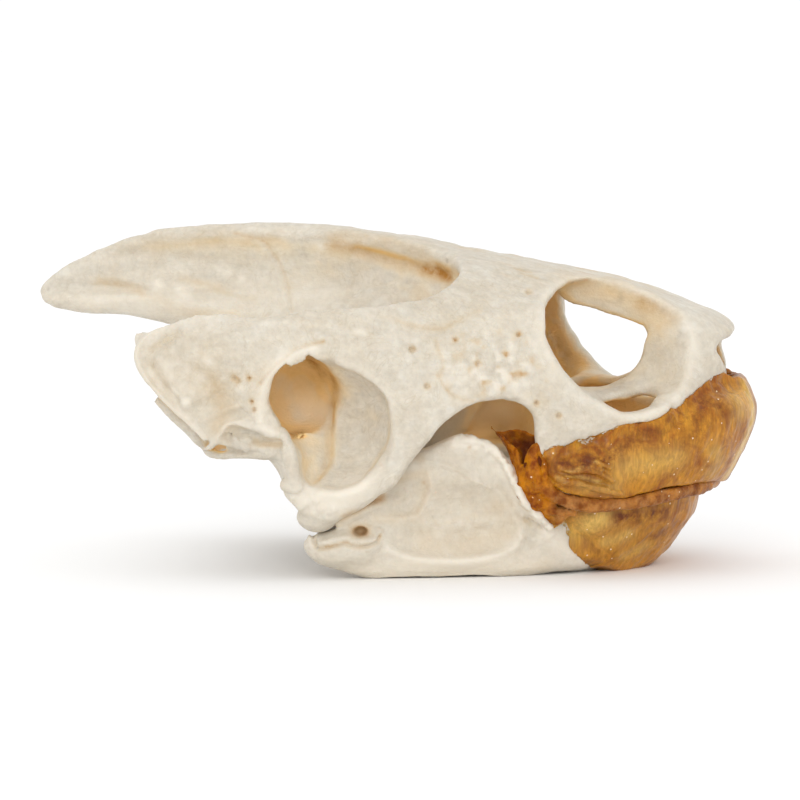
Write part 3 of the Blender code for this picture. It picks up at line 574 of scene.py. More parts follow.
# The ear: a lip round its bowl, the step between the bowl and the deep chamber, the seam above
EAR_RELIEF = (
    (0.24, 0.38, EAR_LIP),
    (-0.22, 0.6, [(x - 0.9, w - 0.5, z) for x, w, z in EAR_LIP[2:6]]),
    (-0.6, 0.3, ((-6.9, 16.2, 11.1), (-6, 14.5, 10.9))),
    (0.12, 0.14, ((-5.6, 13, 12.3), (-4.6, 12.6, 12.2), (-3.6, 13, 12.4))),
    (-0.16, 0.13, EAR_SUTURE),
    (-0.2, 0.24, BOWL_EDGE),
    (0.14, 0.3, [(x + 0.55, w, z) for x, w, z in BOWL_EDGE]),
)
# The cheek: a ridge deep in the gap under it, plate seams, the edge of a rough patch, and the shallow
# dishing of the flat
CHEEK_RELIEF = (
    (0.34, 0.26, ((7.6, 4.8, 13.6), (6.8, 4.7, 12.6), (6.1, 4.5, 11.6), (5.6, 4.4, 10.6))),
    (-0.1, 0.11, JUGAL_SUTURE),
    (-0.09, 0.13, PATCH_EDGE),
    (-0.26, 1.5, ((4, 15, 16), (1.6, 16, 15))),
    (0.12, 0.22, ((1.6, 16, 17.6), (2.6, 15.6, 16.6), (3.4, 15.4, 15.2))),
    (0.1, 0.2, ((3, 15.5, 14.2), (4.4, 15.4, 13.4), (5.6, 15.2, 12.8))),
    (0.12, 0.9, ((-4, 17, 18.6), (0, 16.2, 18.4), (3, 15.4, 17.8))),
    (0.07, 0.2, ORBIT_RIM),
    (0.1, 0.13, ORBIT_RIM[8:14]),
    (-0.12, 0.7, [(x, w + 0.6, z) for x, w, z in ORBIT_RIM[1:6]]),
    (0.14, 0.3, ((-18.4, 13, 18.6), (-14.9, 15, 19.6), (-8, 16, 20.1), (-2, 15, 20.6), (2.4, 13.2, 21.4),
        (4.9, 10, 22.6))),
)
CRANIUM_RELIEF = [
    *CREST_RELIEF, *SQUAMOSAL_RELIEF, *EAR_RELIEF, *CHEEK_RELIEF,
    *[(-0.06, 0.10, line) for line in ROOF_SCRATCHES],
    *[(-0.34, 0.16, (pit,)) for pit in PITS],
    (-0.30, 0.24, (PITS[0],)),
    *[(0.28, 0.24, (knob,)) for knob in CONDYLE_KNOBS],
]

# Stains, as rows of (width, share, line): old grease, rings of dirt, chalky bone, and bone more or less shut
# in than the rays find it. Some rows paint light and shade instead: amber and dark for shade, chalk for
# light, and the shut-in rows for bounce light.
CRANIUM_AMBER = (
    (1.7, 0.5, ((-7.2, 14.2, 14.4), (-6.2, 12.6, 14.6), (-4.6, 12.8, 15))),
    # Partly amber stain, partly painted shade under the ear's rim at the top of the chamber
    (0.9, 0.6, ((-7.6, 15.4, 14.4), (-7.2, 15, 15.4), (-6.4, 14.2, 16.2), (-5.2, 13.4, 16.4))),
    # Painted shade: an amber band down the step between the bowl and the chamber, over two rows
    (0.4, 0.6, ((-3.6, 13.2, 15), (-3.5, 12.8, 13.9), (-3.7, 12.6, 12.9))),
    (0.45, 0.38, BOWL_EDGE),
    (0.3, 0.5, ((-5.2, 12.4, 16), (-4.6, 12.2, 15))),
    (1.2, 0.2, ((8, 4.3, 11), (10.2, 4.8, 11))),
    # Painted shade along the trough under the roof's lip
    (0.6, 0.2, ((-4.6, 2, 25.1), (-1.3, 2.4, 24.8), (1.6, 3.2, 24), (3.2, 4.2, 23))),
    (0.9, 0.8, ((8.2, 5.5, 10), (9.6, 6.5, 9.8), (10.6, 8, 9.8))),
    (0.42, 1, ((-7.2, 16.4, 11.2), (-6.6, 14.6, 10.9), (-5.9, 13.4, 10.9))),
    (1.3, 0.34, ((13.4, 4.2, 21.5), (16.4, 3.7, 21.1), (18.7, 3.8, 19.8), (19.6, 4.4, 18.8))),
    (1.4, 0.16, ((19.8, 6, 17.8), (20.8, 6.5, 16), (20.5, 7.5, 14), (18.5, 8.5, 12.6))),
    (0.35, 0.7, ((-2.3, 15.6, 5.1), (-1.8, 15.7, 5.2))),
    (2.4, 0.16, ((-15, 15.9, 15.8), (-12.8, 16.9, 15.6))),
    (0.35, 0.45, ((-23.4, 0.8, 21.3), (-21.6, 0.8, 21.1), (-20.2, 0.8, 20.6))),
    (0.4, 0.45, ((-19.8, 0.8, 20.3), (-17.8, 0.8, 19.8), (-16.8, 0.8, 19.1), (-15.2, 0.9, 18.8))),
    (0.3, 0.3, ((-17, 0.8, 21.6), (-15, 0.8, 21.2), (-13, 0.9, 20.6))),
    (0.5, 0.45, ((11.4, 11, 16.4), (12.2, 10.8, 15), (12.6, 10.8, 14.2))),
    (0.3, 0.8, ((-8.6, 17, 10.4), (-7.7, 17.1, 10.4), (-7, 17.1, 10.4))),
    (0.16, 0.55, EAR_SUTURE),
    (0.25, 0.25, SQUAMOSAL_CREASE[2:]),
    (0.16, 0.35, JUGAL_SUTURE),
    (0.25, 0.3, PATCH_EDGE),
    (0.14, 0.3, PARIETAL_SUTURE),
    # Painted shade: amber under the overhang of the roof, over two rows
    (0.6, 0.6, ((-5, 1.9, 24.3), (-2, 2.2, 23.6), (0.3, 2.7, 23), (2.3, 3.7, 22.6), (4, 5.1, 22.2))),
    (0.55, 0.7, ((2.6, 4, 22.4), (4.2, 5.4, 22.1))),
    # Painted shade in the trough along the top of the crest
    (0.7, 0.22, ((-19.5, 0.8, 24), (-14, 0.9, 24.4), (-9, 1.2, 24.6))),
    (0.9, 0.3, ((-12, 17.1, 14.4), (-11, 17.1, 12.8), (-11.4, 16.6, 11.4))),
    (0.6, 0.35, ((19, 4, 20.2), (20.4, 4.2, 19.5), (21.4, 4.6, 19))),
    *[(0.14, 0.4, line) for line in ROOF_SCRATCHES],
    *[(0.24, 0.8, (pit,)) for pit in PITS],
)
BLACK_SPECKS = (
    (-7.2, 1.4, 24), (-7.1, 1.3, 23.5), (4.2, 5.3, 23.3), (17.3, 3.7, 20.9), (17.2, 3.7, 20.45),
    (17, 3.7, 20), (19.7, 3.9, 20.2), (20.4, 4.1, 19.7), (13.6, 5, 21.7), (14.4, 4.6, 21.7),
    (15.2, 4.4, 21.6),
)
BROWN_SPECKS = (
    (-25.9, 0.7, 22.7), (-25.6, 0.7, 22.6), (-27.3, 0.4, 20.6), (-19.4, 0.8, 19.9), (-3.4, 16.3, 5.1),
)
CRANIUM_DARK = (
    *[(0.11, 0.7, (speck,)) for speck in BLACK_SPECKS],
    *[(0.11, 0.6, (speck,)) for speck in BROWN_SPECKS],
    # Painted shade under the ear's rim, at the top and back of the chamber
    (0.9, 0.14, ((-7.8, 15.4, 15), (-7, 14.6, 16.2), (-5.8, 13.8, 16.6))),
    (2.4, 0.05, ((-15.4, 15.7, 16.6), (-12.8, 16.9, 15.6))),
)
PALE_CELLS = (
    (-16.9, 15.2, 15.4), (-15.8, 15.7, 15.9), (-14.8, 16.2, 16.2), (-14, 16.6, 15.7), (-15.3, 16, 15.1),
    (-14.5, 16.3, 14.6), (-16.2, 15.5, 14.6), (-13.7, 16.6, 14.1), (-15.1, 15.9, 14), (-12.9, 16.9, 15.1),
    (-14.1, 16.2, 13.3), (-13.2, 16.8, 14.7), (-12.3, 17.1, 16.4), (-18.6, 1, 21.2), (-13.4, 1, 22.2),
    (-12.2, 1, 21.6), (-16.8, 0.9, 20.6), (-6, 1.6, 24.3), (-1, 16.6, 18.6),
)
CRANIUM_CHALK = (
    # Painted light on the floor of the ear's chamber
    (1.1, 0.5, ((-5.9, 12.2, 12.3), (-4.6, 12.4, 12.1))),
    (1.2, 0.8, ((-5.5, 16.4, 6.5), (-3, 16.3, 6), (-1, 16, 7.2))),
    (1.6, 0.45, ((-11, 1, 20.3), (-6, 1.6, 20.6))),
    (0.18, 0.9, ((-6.2, 15, 11.1), (-5.4, 14.4, 11.2), (-4.6, 13.9, 11.1))),
    # Painted light on shaded walls: inside the gap under the cheek, and the orbit's inner wall
    (1.2, 0.3, ((3, 4.8, 10), (5.1, 4.7, 11.3), (8.4, 4.5, 11.8))),
    (1.2, 0.15, ((11.2, 9.2, 19.6), (11.6, 9.8, 17.6), (12.4, 10, 15.6))),
    (1.2, 0.5, ((-24, 0.8, 19.7), (-18, 0.9, 19.8), (-13, 1, 19.6))),
    (0.45, 0.8, EAR_RIM),
    (0.35, 0.4, EAR_LIP),
    (0.4, 0.5, ORBIT_RIM),
    (0.45, 0.45, SQUAMOSAL_RIM),
    (0.3, 0.5, FOLDED_EDGE),
)
# Rows that add to the shut-in share or take from it, and so add or take away painted bounce light along with
# the yellowing
CRANIUM_SHUT = (
    (1.3, 0.16, ((-5, 14.4, 10.6), (-4.6, 14.8, 9.2), (-4.4, 15, 7.6))),
    (0.9, 0.05, ((11, 9.2, 19.6), (11.3, 10.4, 17.9), (12.3, 10.5, 15.5), (13.6, 9.6, 14))),
    (0.6, -0.4, ((16.3, 8, 13.3), (17, 7, 13.5), (18.1, 6.2, 13.5), (19.2, 5.8, 13.5), (20, 6, 13.3))),
    (1.3, 0.17, ((12.6, 5.6, 21.9), (14.6, 4.2, 21.5), (17, 3.7, 20.9), (18.9, 3.8, 19.7),
        (20, 4.6, 18.4))),
    (1, 0.1, ((-6, 1.8, 24.3), (-2, 2.2, 23.4), (0.3, 2.7, 22.8), (2.3, 3.7, 22.4), (4, 5.1, 22.1))),
    (0.8, 0.16, ((-20, 0.8, 23.9), (-14, 0.9, 24.3), (-9, 1.2, 24.4))),
    (2.2, 0.2, ((5.5, 4.4, 11.6), (8, 4.3, 11.6), (10.2, 4.8, 11.2))),
    (0.7, -0.45, ((-17, 14.9, 17.4), (-16, 15.2, 18), (-14.8, 15.6, 18.4))),
    (0.8, -0.22, ((-4.1, 15, 8.8), (-4.1, 15.2, 7.6))),
)


def crust_share(spots):
    """How near each point is to the middle of the porous patch on the cheek, from 0 to 1."""
    side_on = np.stack([spots[:, 0], np.abs(spots[:, 1]), spots[:, 2]], axis=1)
    return np.exp(-(np.linalg.norm((side_on - CRUST_MIDDLE) / CRUST_REACH, axis=1) ** 2))


def cranium_form():
    bone = solid_of("cranium", "cranium_bone")
    bone = carved(bone, both_sides([EAR_CHAMBER]))
    bone = carved(bone, both_sides([EAR_GROOVE]))
    bone = grown_on(bone, both_sides(CRANIUM_GROWTHS + BROKEN_RIM))
    bone = worked(bone, "SMOOTH", factor=0.5, iterations=3)
    bone = blended(bone, EAR_STEP, 2.0, EDGE_WEAR)
    spots, normals = points_of(bone), points_of(bone, "normal")
    spots = raised(spots, normals, CRANIUM_RELIEF)
    spots[:, 0] -= CREST_TIP_DRAW * (np.clip(CREST_TIP - spots[:, 0], 0, None) / CREST_TIP_LENGTH) ** 2
    swell = 0.05 + uneven_layers(spots, (0.11, 3.4, 1), (0.075, 1.3, 2), (0.03, 0.6, 3))
    swell += crust_share(spots) * uneven_layers(spots, (0.10, 0.8, 4), (0.16, 0.40, 5))
    set_points(bone, spots + normals * swell[:, None])
    return bone


def cranium_stains(bone):
    """Where the bone is stained amber, chalky white or specked dark, with painted shade, light and bounce
    light among them, as shares kept at its points.
    """
    spots = points_of(bone)
    cells = []
    for k, (x, w, z) in enumerate(PALE_CELLS):
        tall = 0.12 + 0.12 * math.sin(2.4 * k)
        cells.append((0.28, 1.0, ((x - 0.1, w, z + tall), (x + 0.12, w, z - tall))))
    crust = crust_share(spots)
    chalk = stained(spots, [*cells, *CRANIUM_CHALK])
    chalk += 0.8 * crust * np.clip(2.0 * unevenness(spots, 0.45, 8), 0, 1)
    amber = stained(spots, CRANIUM_AMBER) + crust * np.clip(1.5 * unevenness(spots, 0.5, 9) - 0.3, 0, 1)
    # The shut-in share drives the warm buff: yellowing and painted bounce light in the hollows
    shut = eased(hidden_share(bone), bone, 3) + stained(spots, CRANIUM_SHUT)
    keep_shares(bone, BONE_SHARES, (shut, amber, chalk, stained(spots, CRANIUM_DARK)))


def dry_bone():
    """Boiled and bleached bone: a chalky, faintly see-through ivory in soft clouds, and a warm buff where
    shut in, partly yellowing and partly painted bounce light.
    """
    material, tree = new_material("dry bleached bone")
    place = add_node(tree, "TexCoord").outputs["Object"]
    shut, amber, chalk, dark = kept_shares(tree, BONE_SHARES)
    # Soft clouds about 6 mm across, and paler blotches of 1 mm in them
    clouds = add_node(tree, "TexNoise", place, Scale=170, Detail=5, Roughness=0.6)
    contrast = add_node(tree, "MapRange", clouds, From_Min=0.32, From_Max=0.68)
    ivory = add_node(tree, "MixRGB", contrast, "#C8BDAA", "#D1C9BA")
    blotches = add_node(tree, "TexNoise", place, Scale=800, Detail=5, Roughness=0.62)
    pale = add_node(tree, "MapRange", blotches, From_Min=0.44, From_Max=0.74, To_Max=0.75)
    mottled = add_node(tree, "MixRGB", pale, ivory, "#D7D1C4")
    # Soft streaks fore and aft, 0.7 mm apart, and a speckle of 0.4 mm
    drawn_out = add_node(tree, "Mapping", place, Scale=(0.12, 1, 1))
    streaks = add_node(tree, "TexNoise", drawn_out, Scale=1500, Detail=4)
    speckle = add_node(tree, "TexNoise", place, Scale=2600, Detail=3, Roughness=0.6)
    long_tone = add_node(tree, "MapRange", streaks, From_Min=0.3, From_Max=0.7, To_Min=0.94, To_Max=1.05)
    fine_tone = add_node(tree, "MapRange", speckle, From_Min=0.3, From_Max=0.7, To_Min=0.92, To_Max=1.06)
    tone = add_node(tree, "Math", long_tone, fine_tone, operation="MULTIPLY")
    grained = add_node(tree, "MixRGB", 1, mottled, tone, blend_type="MULTIPLY")
    # Pale rounded cells 0.8 mm across, where the inner layer shows through, and faint darker vessel lines
    cells = add_node(tree, "TexVoronoi", place, feature="SMOOTH_F1", Scale=1150, Smoothness=0.3)
    middles = add_node(tree, "MapRange", cells, From_Min=0.50, From_Max=0.28)
    some = add_node(tree, "MapRange", clouds, From_Min=0.50, From_Max=0.62, To_Max=0.4)
    lit_cells = add_node(tree, "Math", middles, some, operation="MULTIPLY")
    celled = add_node(tree, "MixRGB", lit_cells, grained, "#DEDACF")
    wander = add_node(tree, "TexNoise", place, Scale=300, Detail=4, Distortion=1.2)
    off_line = add_node(tree, "Math", wander, 0.5, operation="SUBTRACT")
    away_from = add_node(tree, "Math", off_line, operation="ABSOLUTE")
    vessels = add_node(tree, "MapRange", away_from, From_Min=0.010, From_Max=0, To_Max=0.22)
    veined = add_node(tree, "MixRGB", vessels, celled, "#A99674")
    # Shut-in bone is a warm buff, paler than the open bone: partly yellowing that the bleach left, partly
    # painted bounce light that brightens the hollows
    sheltered = add_node(tree, "MapRange", shut, From_Min=0.20, From_Max=0.62, To_Max=0.97)
    buff = add_node(tree, "MixRGB", sheltered, "#EBDCBB", "#F5CD88")
    painted_bounce_and_yellowing = add_node(tree, "MixRGB", sheltered, veined, buff)
    # Old grease stains it amber in the recesses and the vessel holes, unevenly. The same amber is painted
    # shade where the stain rows lay it along shaded steps, troughs and overhangs.
    grime = add_node(tree, "TexNoise", place, Scale=700, Detail=5, Roughness=0.65)
    patchy = add_node(tree, "MapRange", grime, From_Min=0.3, From_Max=0.7, To_Min=0.6, To_Max=1.3)
    grease_and_shade_share = add_node(tree, "Math", amber, patchy, operation="MULTIPLY", use_clamp=True)
    grease_and_shade_amber = add_node(tree, "MixRGB", grease_and_shade_share, "#D2B47C", "#A8742A")
    warmed = add_node(tree, "MixRGB", grease_and_shade_share, painted_bounce_and_yellowing, grease_and_shade_amber)
    # Chalky white, which a few rows lay as painted light on shaded walls
    whitened = add_node(tree, "MixRGB", chalk, warmed, "#E4DCCD")
    # Dark specks, and painted shade where the dark rows lay it in hollows
    specked_and_shaded = add_node(tree, "MixRGB", dark, whitened, "#5A452C")
    # Fibres of the outer table run fore and aft. Drawn 0.25 mm apart, which is coarser than the real ones.
    along = add_node(tree, "Mapping", place, Scale=(0.18, 1, 1))
    fibres = add_node(tree, "TexNoise", along, Scale=4200, Detail=3, Roughness=0.55)
    pores = add_node(tree, "TexNoise", place, Scale=5200, Detail=3, Roughness=0.6)
    grain = add_node(tree, "MixRGB", 0.5, fibres, pores)
    rough = add_node(tree, "Bump", Height=blotches, Strength=0.6, Distance=0.00016)
    relief = add_node(tree, "Bump", Height=grain, Normal=rough, Strength=0.8, Distance=0.00009)
    bone = add_node(
        tree, "BsdfPrincipled", Base_Color=specked_and_shaded, Normal=relief, Roughness=0.5, IOR=1.5,
        Specular_IOR_Level=0.3, Subsurface_Weight=0.12, Subsurface_Scale=0.0007,
        Subsurface_Radius=(1, 0.62, 0.36),
    )
    add_node(tree, "OutputMaterial", bone)
    return material


def without_crumbs(piece):
    """The largest connected part of the piece, without faces that have no area."""
    work = bmesh.new()
    work.from_mesh(piece.data)
    bmesh.ops.dissolve_degenerate(work, edges=work.edges, dist=SMALLEST_EDGE)
    work.verts.index_update()
    unseen = set(work.verts)
    parts = []
    for first in work.verts:
        if first not in unseen:
            continue
        unseen.remove(first)
        front = [first]
        part = []
        while front:
            corner = front.pop()
            part.append(corner)
            near = {edge.other_vert(corner) for edge in corner.link_edges} & unseen
            unseen -= near
            front.extend(near)
        parts.append(part)
    parts.sort(key=len)
    crumbs = sorted((corner for part in parts[:-1] for corner in part), key=lambda corner: corner.index)
    bmesh.ops.delete(work, geom=crumbs, context="VERTS")
    bmesh.ops.triangulate(work, faces=work.faces)
    work.to_mesh(piece.data)
    work.free()


def finished(piece, material, node, triangles):
    """The piece thinned, in metres, in its material, on the body and in its solid's place."""
    count = sum(len(face.vertices) - 2 for face in piece.data.polygons)
    if count > triangles:
        worked(piece, "DECIMATE", ratio=triangles / count)
    without_crumbs(piece)
    piece.data.shade_smooth()
    piece.data.materials.append(material)
    scaled(piece, MILLIMETRE)
    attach(piece, "root")
    if node:
        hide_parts(node)


bone_material = dry_bone()
cranium_bone = cranium_form()
cranium_stains(cranium_bone)
cranium_surface = surface_tree(cranium_bone)
finished(cranium_bone, bone_material, "cranium", BONE_TRIANGLES)


# The mandible: two fused rami of the same bleached bone, hollowed on the outside, with a rough raised lip
# in front where the horn began, a vessel hole near the joint and a blunt point behind it. Its lower edge is
# rounded under, so that it meets the card on a narrow line.
JAW_GRAIN = 0.16
JAW_TRIANGLES = 90000
JAW_PALENESS = 0.2
JAW_TUCK = 0.45
JAW_TUCK_HEIGHT = 0.6
JAW_LIP = (
    (5.5, 12.6, 10.4), (6.6, 12.3, 10.3), (7.7, 11.9, 9.9), (8.7, 11.8, 9.1), (9.4, 11.7, 8.2),
    (9.9, 11.7, 7.2), (10.4, 11.6, 6.2), (11, 11.3, 5.2), (11.7, 10.9, 4.5), (12.3, 10.2, 3.7),
)
JAW_FRONT_RIDGE = (
    (3.4, 13.2, 8.8), (4.2, 13, 8.7), (5.1, 12.8, 8.4), (6, 12.5, 8), (6.8, 12.3, 7.4), (7.5, 12.1, 7.1),
    (8.1, 12, 6.8),
)
JAW_DIMPLE_EDGE = (
    (1.5, 13.6, 7.4), (2.6, 13.3, 7.7), (3.7, 13.1, 7.8), (3.8, 12.8, 6.7), (3.2, 12.6, 5.2),
    (2.5, 13.1, 4.6), (1.4, 13.4, 4.5), (0.1, 13.7, 4.6),
)
JAW_DISH_EDGE = (
    (0.6, 13.4, 2.2), (1.6, 13.1, 1.8), (2.7, 12.9, 1.5), (3.9, 12.7, 1.35), (5.1, 12.5, 1.3),
    (6.2, 12.2, 1.3), (7.3, 11.9, 1.4), (8.3, 11.5, 1.6), (9.2, 11.1, 1.9), (9.9, 10.8, 2.4),
    (10.2, 10.8, 3.1), (10.2, 11, 3.8), (9.9, 11.2, 4.5), (9.5, 11.5, 5.4), (9.1, 11.7, 6.2),
    (8.1, 12, 6.8),
)
JAW_SEAM = (
    (-4.3, 15.1, 2.4), (-3, 15.4, 2.7), (-2.2, 15.4, 2.9), (-2, 15.5, 2.7), (-1, 15.1, 2.6),
    (-0.1, 14.5, 2.8), (0.1, 14.1, 3.3),
)
JAW_NOTCH = ((-5, 13.1, 3.3), (-4.7, 14.6, 2.9), (-4.6, 14.9, 2.5))
JAW_SLIT = ((10.7, 11, 4.3), (11.3, 10.7, 3.9), (11.9, 10.3, 3.6))
JAW_HOLE = ((-1.55, 14.9, 3.7), (-1.05, 14.7, 3.65))
VESSEL_HOLE = lump((-1.3, 15.0, 3.68), (0.55, 1.4, 0.38))
JAW_GROWTHS = [
    bar(JAW_LIP, (0.15, 0.22, 0.28, 0.34, 0.38, 0.4, 0.38, 0.36, 0.32, 0.25), flat=0.8),
    bar(((-3.2, 14.4, 4.3), (-2.2, 14.4, 4.8), (-1, 14, 5.3), (0.2, 13.6, 5.7)), (0.5, 0.55, 0.5, 0.25)),
]
# Relief and stains, in rows like those of the cranium, with painted shade and bounce light among them in the
# same way
JAW_RELIEF = [
    (-0.6, 0.95, ((1.2, 13.7, 6.6), (2.5, 13.2, 6.4), (1.8, 13.4, 5.4))),
    (-0.5, 1.2, ((2.8, 12.9, 3.2), (5.6, 12.3, 3.2), (8.2, 11.6, 3.6), (8.2, 11.8, 5), (6, 12.2, 5.4),
        (4.6, 12.5, 4.4))),
    (0.15, 0.2, JAW_DIMPLE_EDGE[2:]),
    (0.17, 0.18, JAW_FRONT_RIDGE),
    (0.3, 0.38, JAW_DISH_EDGE[:11]),
    (0.16, 0.35, JAW_DISH_EDGE[10:]),
    (0.26, 0.3, JAW_LIP),
    (-0.26, 0.4, [(x - 0.8, w, z - 0.3) for x, w, z in JAW_LIP[3:]]),
    (-0.24, 0.6, ((-2, 14.6, 0.8), (2, 13, 0.45), (7, 11.6, 0.45), (10, 10.4, 0.8))),
    (-0.3, 0.15, JAW_SEAM),
    (0.2, 0.26, [(x, w, z + 0.36) for x, w, z in JAW_SEAM]),
    (-0.52, 0.16, JAW_NOTCH),
    (0.22, 0.24, [(x - 0.25, w, z + 0.1) for x, w, z in JAW_NOTCH]),
    (-0.34, 0.16, JAW_SLIT),
    (0.14, 0.22, ((-2.1, 14.9, 4.1), (-1.3, 14.7, 4.25), (-0.6, 14.4, 3.9))),
]
JAW_AMBER = (
    (0.34, 0.9, JAW_HOLE),
    (0.15, 0.9, JAW_SEAM),
    (0.15, 0.8, JAW_NOTCH),
    (0.17, 1, JAW_SLIT),
    (0.4, 0.9, ((-3.4, 14.6, 4.45), (-2.2, 14.7, 5.1), (-1, 14.4, 5.7), (0.2, 13.8, 6.1))),
    (0.7, 0.18, ((-2, 14.6, 0.7), (2, 13, 0.4), (7, 11.6, 0.4), (12, 9.8, 0.9))),
    (1.3, 0.26, ((3.4, 12.8, 2.6), (6, 12.2, 2.4), (9, 11.4, 3.4), (8.8, 11.7, 5.2))),
    (2.2, 0.13, ((2.4, 13.2, 6.4), (5.6, 12.4, 5.2))),
    (0.4, 0.25, [(x - 0.35, w, z) for x, w, z in JAW_DIMPLE_EDGE]),
    (0.3, 0.5, ((2.4, 13.3, 9.2), (3, 13.3, 9))),
    (0.28, 0.75, [(x + 0.42, w, z + 0.1) for x, w, z in JAW_LIP[2:]]),
    (0.14, 0.6, ((3.2, 13.1, 7.2),)),
    (0.12, 0.5, ((7.5, 11.8, 4.6),)),
    (0.14, 0.5, ((4.6, 12.6, 4.2),)),
    (0.5, 1, [(x, w - 0.8, z) for x, w, z in JAW_HOLE]),
)
JAW_BLOTS = (
    (5, 12.4, 4.4), (6.4, 12, 5), (4.2, 12.6, 3.2), (7.6, 11.8, 3.4), (6.6, 12.1, 3.7), (8.3, 11.7, 4.4),
)
JAW_CHALK = (
    (0.25, 0.2, JAW_DIMPLE_EDGE[2:]),
    (0.32, 0.6, JAW_DISH_EDGE[:11]),
    (0.3, 0.7, ((-5, 14.3, 3.3), (-4.8, 14.8, 2.7))),
    (0.7, 0.5, ((12.4, 10.2, 2.8), (14, 9, 1.8))),
    (0.8, 0.4, ((-2, 14.6, 0.9), (2, 13, 0.7), (7, 11.6, 0.7), (11, 10.2, 0.9))),
    *[(0.34, 0.5, (spot,)) for spot in JAW_BLOTS],
)
JAW_DARK = (
    (0.08, 0.4, ((-4.9, 15, 2.4), (-4.2, 15.3, 2.5))),
    # Painted shade: a faint darkening over the dimple and the dish, and dark inside the vessel hole
    (2, 0.05, ((1.8, 13.4, 6.2), (5.6, 12.4, 5), (8, 11.8, 4.2))),
    (0.34, 0.4, [(x, w - 0.8, z) for x, w, z in JAW_HOLE]),
)
# Rows that add to the shut-in share, and so painted bounce light and yellowing, in the dish and the dimple
JAW_SHUT = (
    (2, 0.12, ((3.4, 12.9, 3.4), (6, 12.2, 4), (8.6, 11.7, 4.2))),
    (1, 0.1, ((1.4, 13.6, 6.4), (2.6, 13.2, 6.2))),
)


def mandible_form():
    bone = solid_of("mandible", "mandible_bone")
    bone = carved(bone, both_sides([VESSEL_HOLE]))
    bone = grown_on(bone, both_sides(JAW_GROWTHS), JAW_GRAIN)
    bone = worked(bone, "SMOOTH", factor=0.5, iterations=3)
    spots, normals = points_of(bone), points_of(bone, "normal")
    ragged = stained(spots, [(0.85, 1.0, JAW_LIP)])
    spots = raised(spots, normals, JAW_RELIEF)
    swell = 0.02 + uneven_layers(spots, (0.10, 2.6, 21), (0.045, 1.0, 22), (0.015, 0.45, 23))
    swell += ragged * uneven_layers(spots, (0.16, 0.8, 24), (0.18, 0.36, 25))
    spots += normals * swell[:, None]
    spots[:, 2] = np.maximum(spots[:, 2], 0.0)
    under = np.clip(1 - spots[:, 2] / JAW_TUCK_HEIGHT, 0, 1) ** 1.5
    spots[:, :2] -= JAW_TUCK * under[:, None] * normals[:, :2]
    set_points(bone, spots)
    return bone


def mandible_stains(bone):
    spots = points_of(bone)
    crumbs = stained(spots, [(0.65, 1.0, JAW_LIP)])
    amber = stained(spots, JAW_AMBER) + crumbs * np.clip(1.6 * unevenness(spots, 0.4, 27) - 0.5, 0, 1)
    chalk = stained(spots, JAW_CHALK) + crumbs * np.clip(0.9 + 0.9 * unevenness(spots, 0.4, 26), 0, 1)
    # The shut-in share drives the warm buff here too: yellowing and painted bounce light in the hollows
    shut = eased(hidden_share(bone), bone, 3) + stained(spots, JAW_SHUT)
    keep_shares(bone, BONE_SHARES, (shut, amber, chalk + JAW_PALENESS, stained(spots, JAW_DARK)))


mandible_bone = mandible_form()
mandible_stains(mandible_bone)
mandible_surface = surface_tree(mandible_bone)
finished(mandible_bone, bone_material, "mandible", JAW_TRIANGLES)


# The upper beak: a sheath of dried, see-through horn that grew over the front of the upper jaw.
# It is thickest at its cutting edge and thins to a ragged film where it ends on the bone.
HORN_GRAIN = 0.15
HORN_TRIANGLES = 110000
EDGE_FILM = 0.07
FLAKE_DEPTH = 0.30
CLOSE_TO_BONE = 2.2
STRAND_HEIGHT = 0.17
HORN_SHARES = ("umber", "straw", "flakes")
UPPER_EDGE = (
    (11.8, 12.9, 8), (12.4, 13.2, 8.9), (13, 13.1, 9.4), (14.1, 12.8, 9.8), (15.8, 12.2, 10.3),
    (17.5, 11.4, 10.8), (19.4, 10.2, 11.2), (21, 9.2, 11.9), (22.4, 8, 12.8), (23.6, 6.8, 13.7),
    (24.8, 5.2, 14.4), (25.8, 3.4, 14.7), (26.4, 1.6, 14.6), (26.6, 0, 14.5),
)
